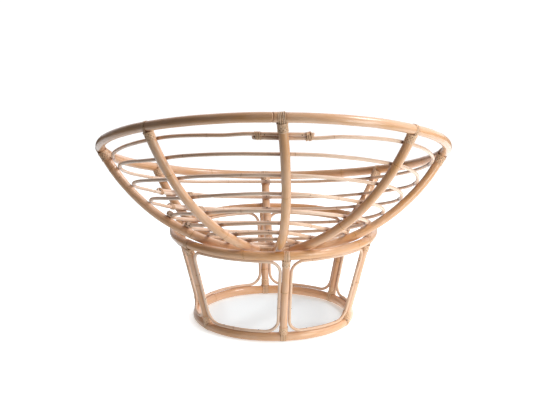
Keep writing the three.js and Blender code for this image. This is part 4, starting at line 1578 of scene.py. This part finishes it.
floor_finish = bpy.data.materials.new("studio_floor")
floor_finish.use_nodes = True
tree = floor_finish.node_tree
floor_shader = tree.nodes["Principled BSDF"].inputs
place = put(tree, "TexCoord").outputs["Object"]
from_paper = vectors(tree, "DISTANCE", place, PAPER_PLACE)["Value"]
from_stand = vectors(tree, "DISTANCE", place, tuple(STAND_AXIS))["Value"]
across = put(tree, "SeparateXYZ", Vector=place).outputs["X"]
paper = ramp(tree, from_paper, PAPER_REACH[1], PAPER_REACH[0])
# Inside the floor ring the paper glows less: a painted shadow.
under = ramp(tree, from_stand, *PAINTED_SHADOW_REACH, PAINTED_SHADOW_GLOW, PAPER_GLOW)
seen = put(tree, "LightPath").outputs["Is Camera Ray"]
unseen = sums(tree, "SUBTRACT", 1.0, seen)
glow = sums(tree, "MULTIPLY", seen, blended(tree, paper, WHITE, under))
bounced = sums(tree, "MULTIPLY", paper, ramp(tree, across, *PAPER_LIGHT_REACH, *PAPER_LIGHT))
feed(tree, floor_shader["Emission Strength"], sums(tree, "MULTIPLY_ADD", unseen, bounced, glow))
feed(tree, floor_shader["Base Color"], blended(tree, paper, FLOOR_COLOUR, PAPER_COLOUR))
floor_shader["Emission Color"].default_value = WHITE
floor_shader["Roughness"].default_value = PAPER_ROUGHNESS
floor_shader["Specular IOR Level"].default_value = 0.0
floor_mesh.materials.append(floor_finish)
print("paper throws back", PAPER_LIGHT[0], "at the left and", PAPER_LIGHT[1], "at the right")

# %% [markdown]
# The room is bright at the right beyond the chair, where the backdrop is, and dim behind the
# camera. A photographed room could light the chair instead, but a smooth step between two levels
# is enough for cane and leaves the file whole. The camera itself sees plain white.
# %% World
BRIGHT_DIRECTION = (-0.77, -0.64, 0.0)
BRIGHT_REACH = (-0.4, 0.8)
DIM_SIDE = 0.14
BRIGHT_SIDE = 1.35
ROOM_TINT = (0.97, 0.955, 0.985, 1.0)

world = bpy.data.worlds.new("white_room")
bpy.context.scene.world = world
world.use_nodes = True
room = world.node_tree
paths = put(room, "LightPath").outputs
shown = sums(room, "MAXIMUM", paths["Is Camera Ray"], paths["Is Transmission Ray"])
room_direction = put(room, "TexCoord").outputs["Generated"]
towards_bright = vectors(room, "DOT_PRODUCT", room_direction, BRIGHT_DIRECTION)["Value"]
light = ramp(room, towards_bright, *BRIGHT_REACH, DIM_SIDE, BRIGHT_SIDE)
background = room.nodes["Background"].inputs
feed(room, background["Color"], blended(room, shown, ROOM_TINT, WHITE))
feed(room, background["Strength"], sums(room, "MAXIMUM", shown, light))
print("room light:", DIM_SIDE, "to", BRIGHT_SIDE)

# %% [markdown]
# The lamps stay put as the camera goes round. One stands at the right, low and a little nearer
# than the chair, and models the canes: pale on the right, brown on the left. The other hangs
# high at the right and draws the bright lines of gloss along the rim and the rings.
# %% Lamps
AIM = Vector((0.0, 0.0, 0.45))


def lamp(name, place, width, height, watts, colour):
    """A softbox aimed at the middle of the chair."""
    data = bpy.data.lights.new(name, "AREA")
    data.shape = "RECTANGLE"
    data.size = width
    data.size_y = height
    data.energy = watts
    data.color = colour
    softbox = bpy.data.objects.new(name, data)
    softbox.location = place
    softbox.rotation_euler = (AIM - Vector(place)).to_track_quat("-Z", "Y").to_euler()
    bpy.context.collection.objects.link(softbox)


lamp("key_softbox", (-1.35, 1.25, 0.5), width=0.7, height=1.0, watts=12.5, colour=(0.97, 1.0, 0.97))
lamp("top_softbox", (-2.0, 0.2, 2.8), width=0.7, height=0.7, watts=42.0, colour=(1.0, 0.99, 0.98))
bpy.context.scene.view_settings.view_transform = "Standard"
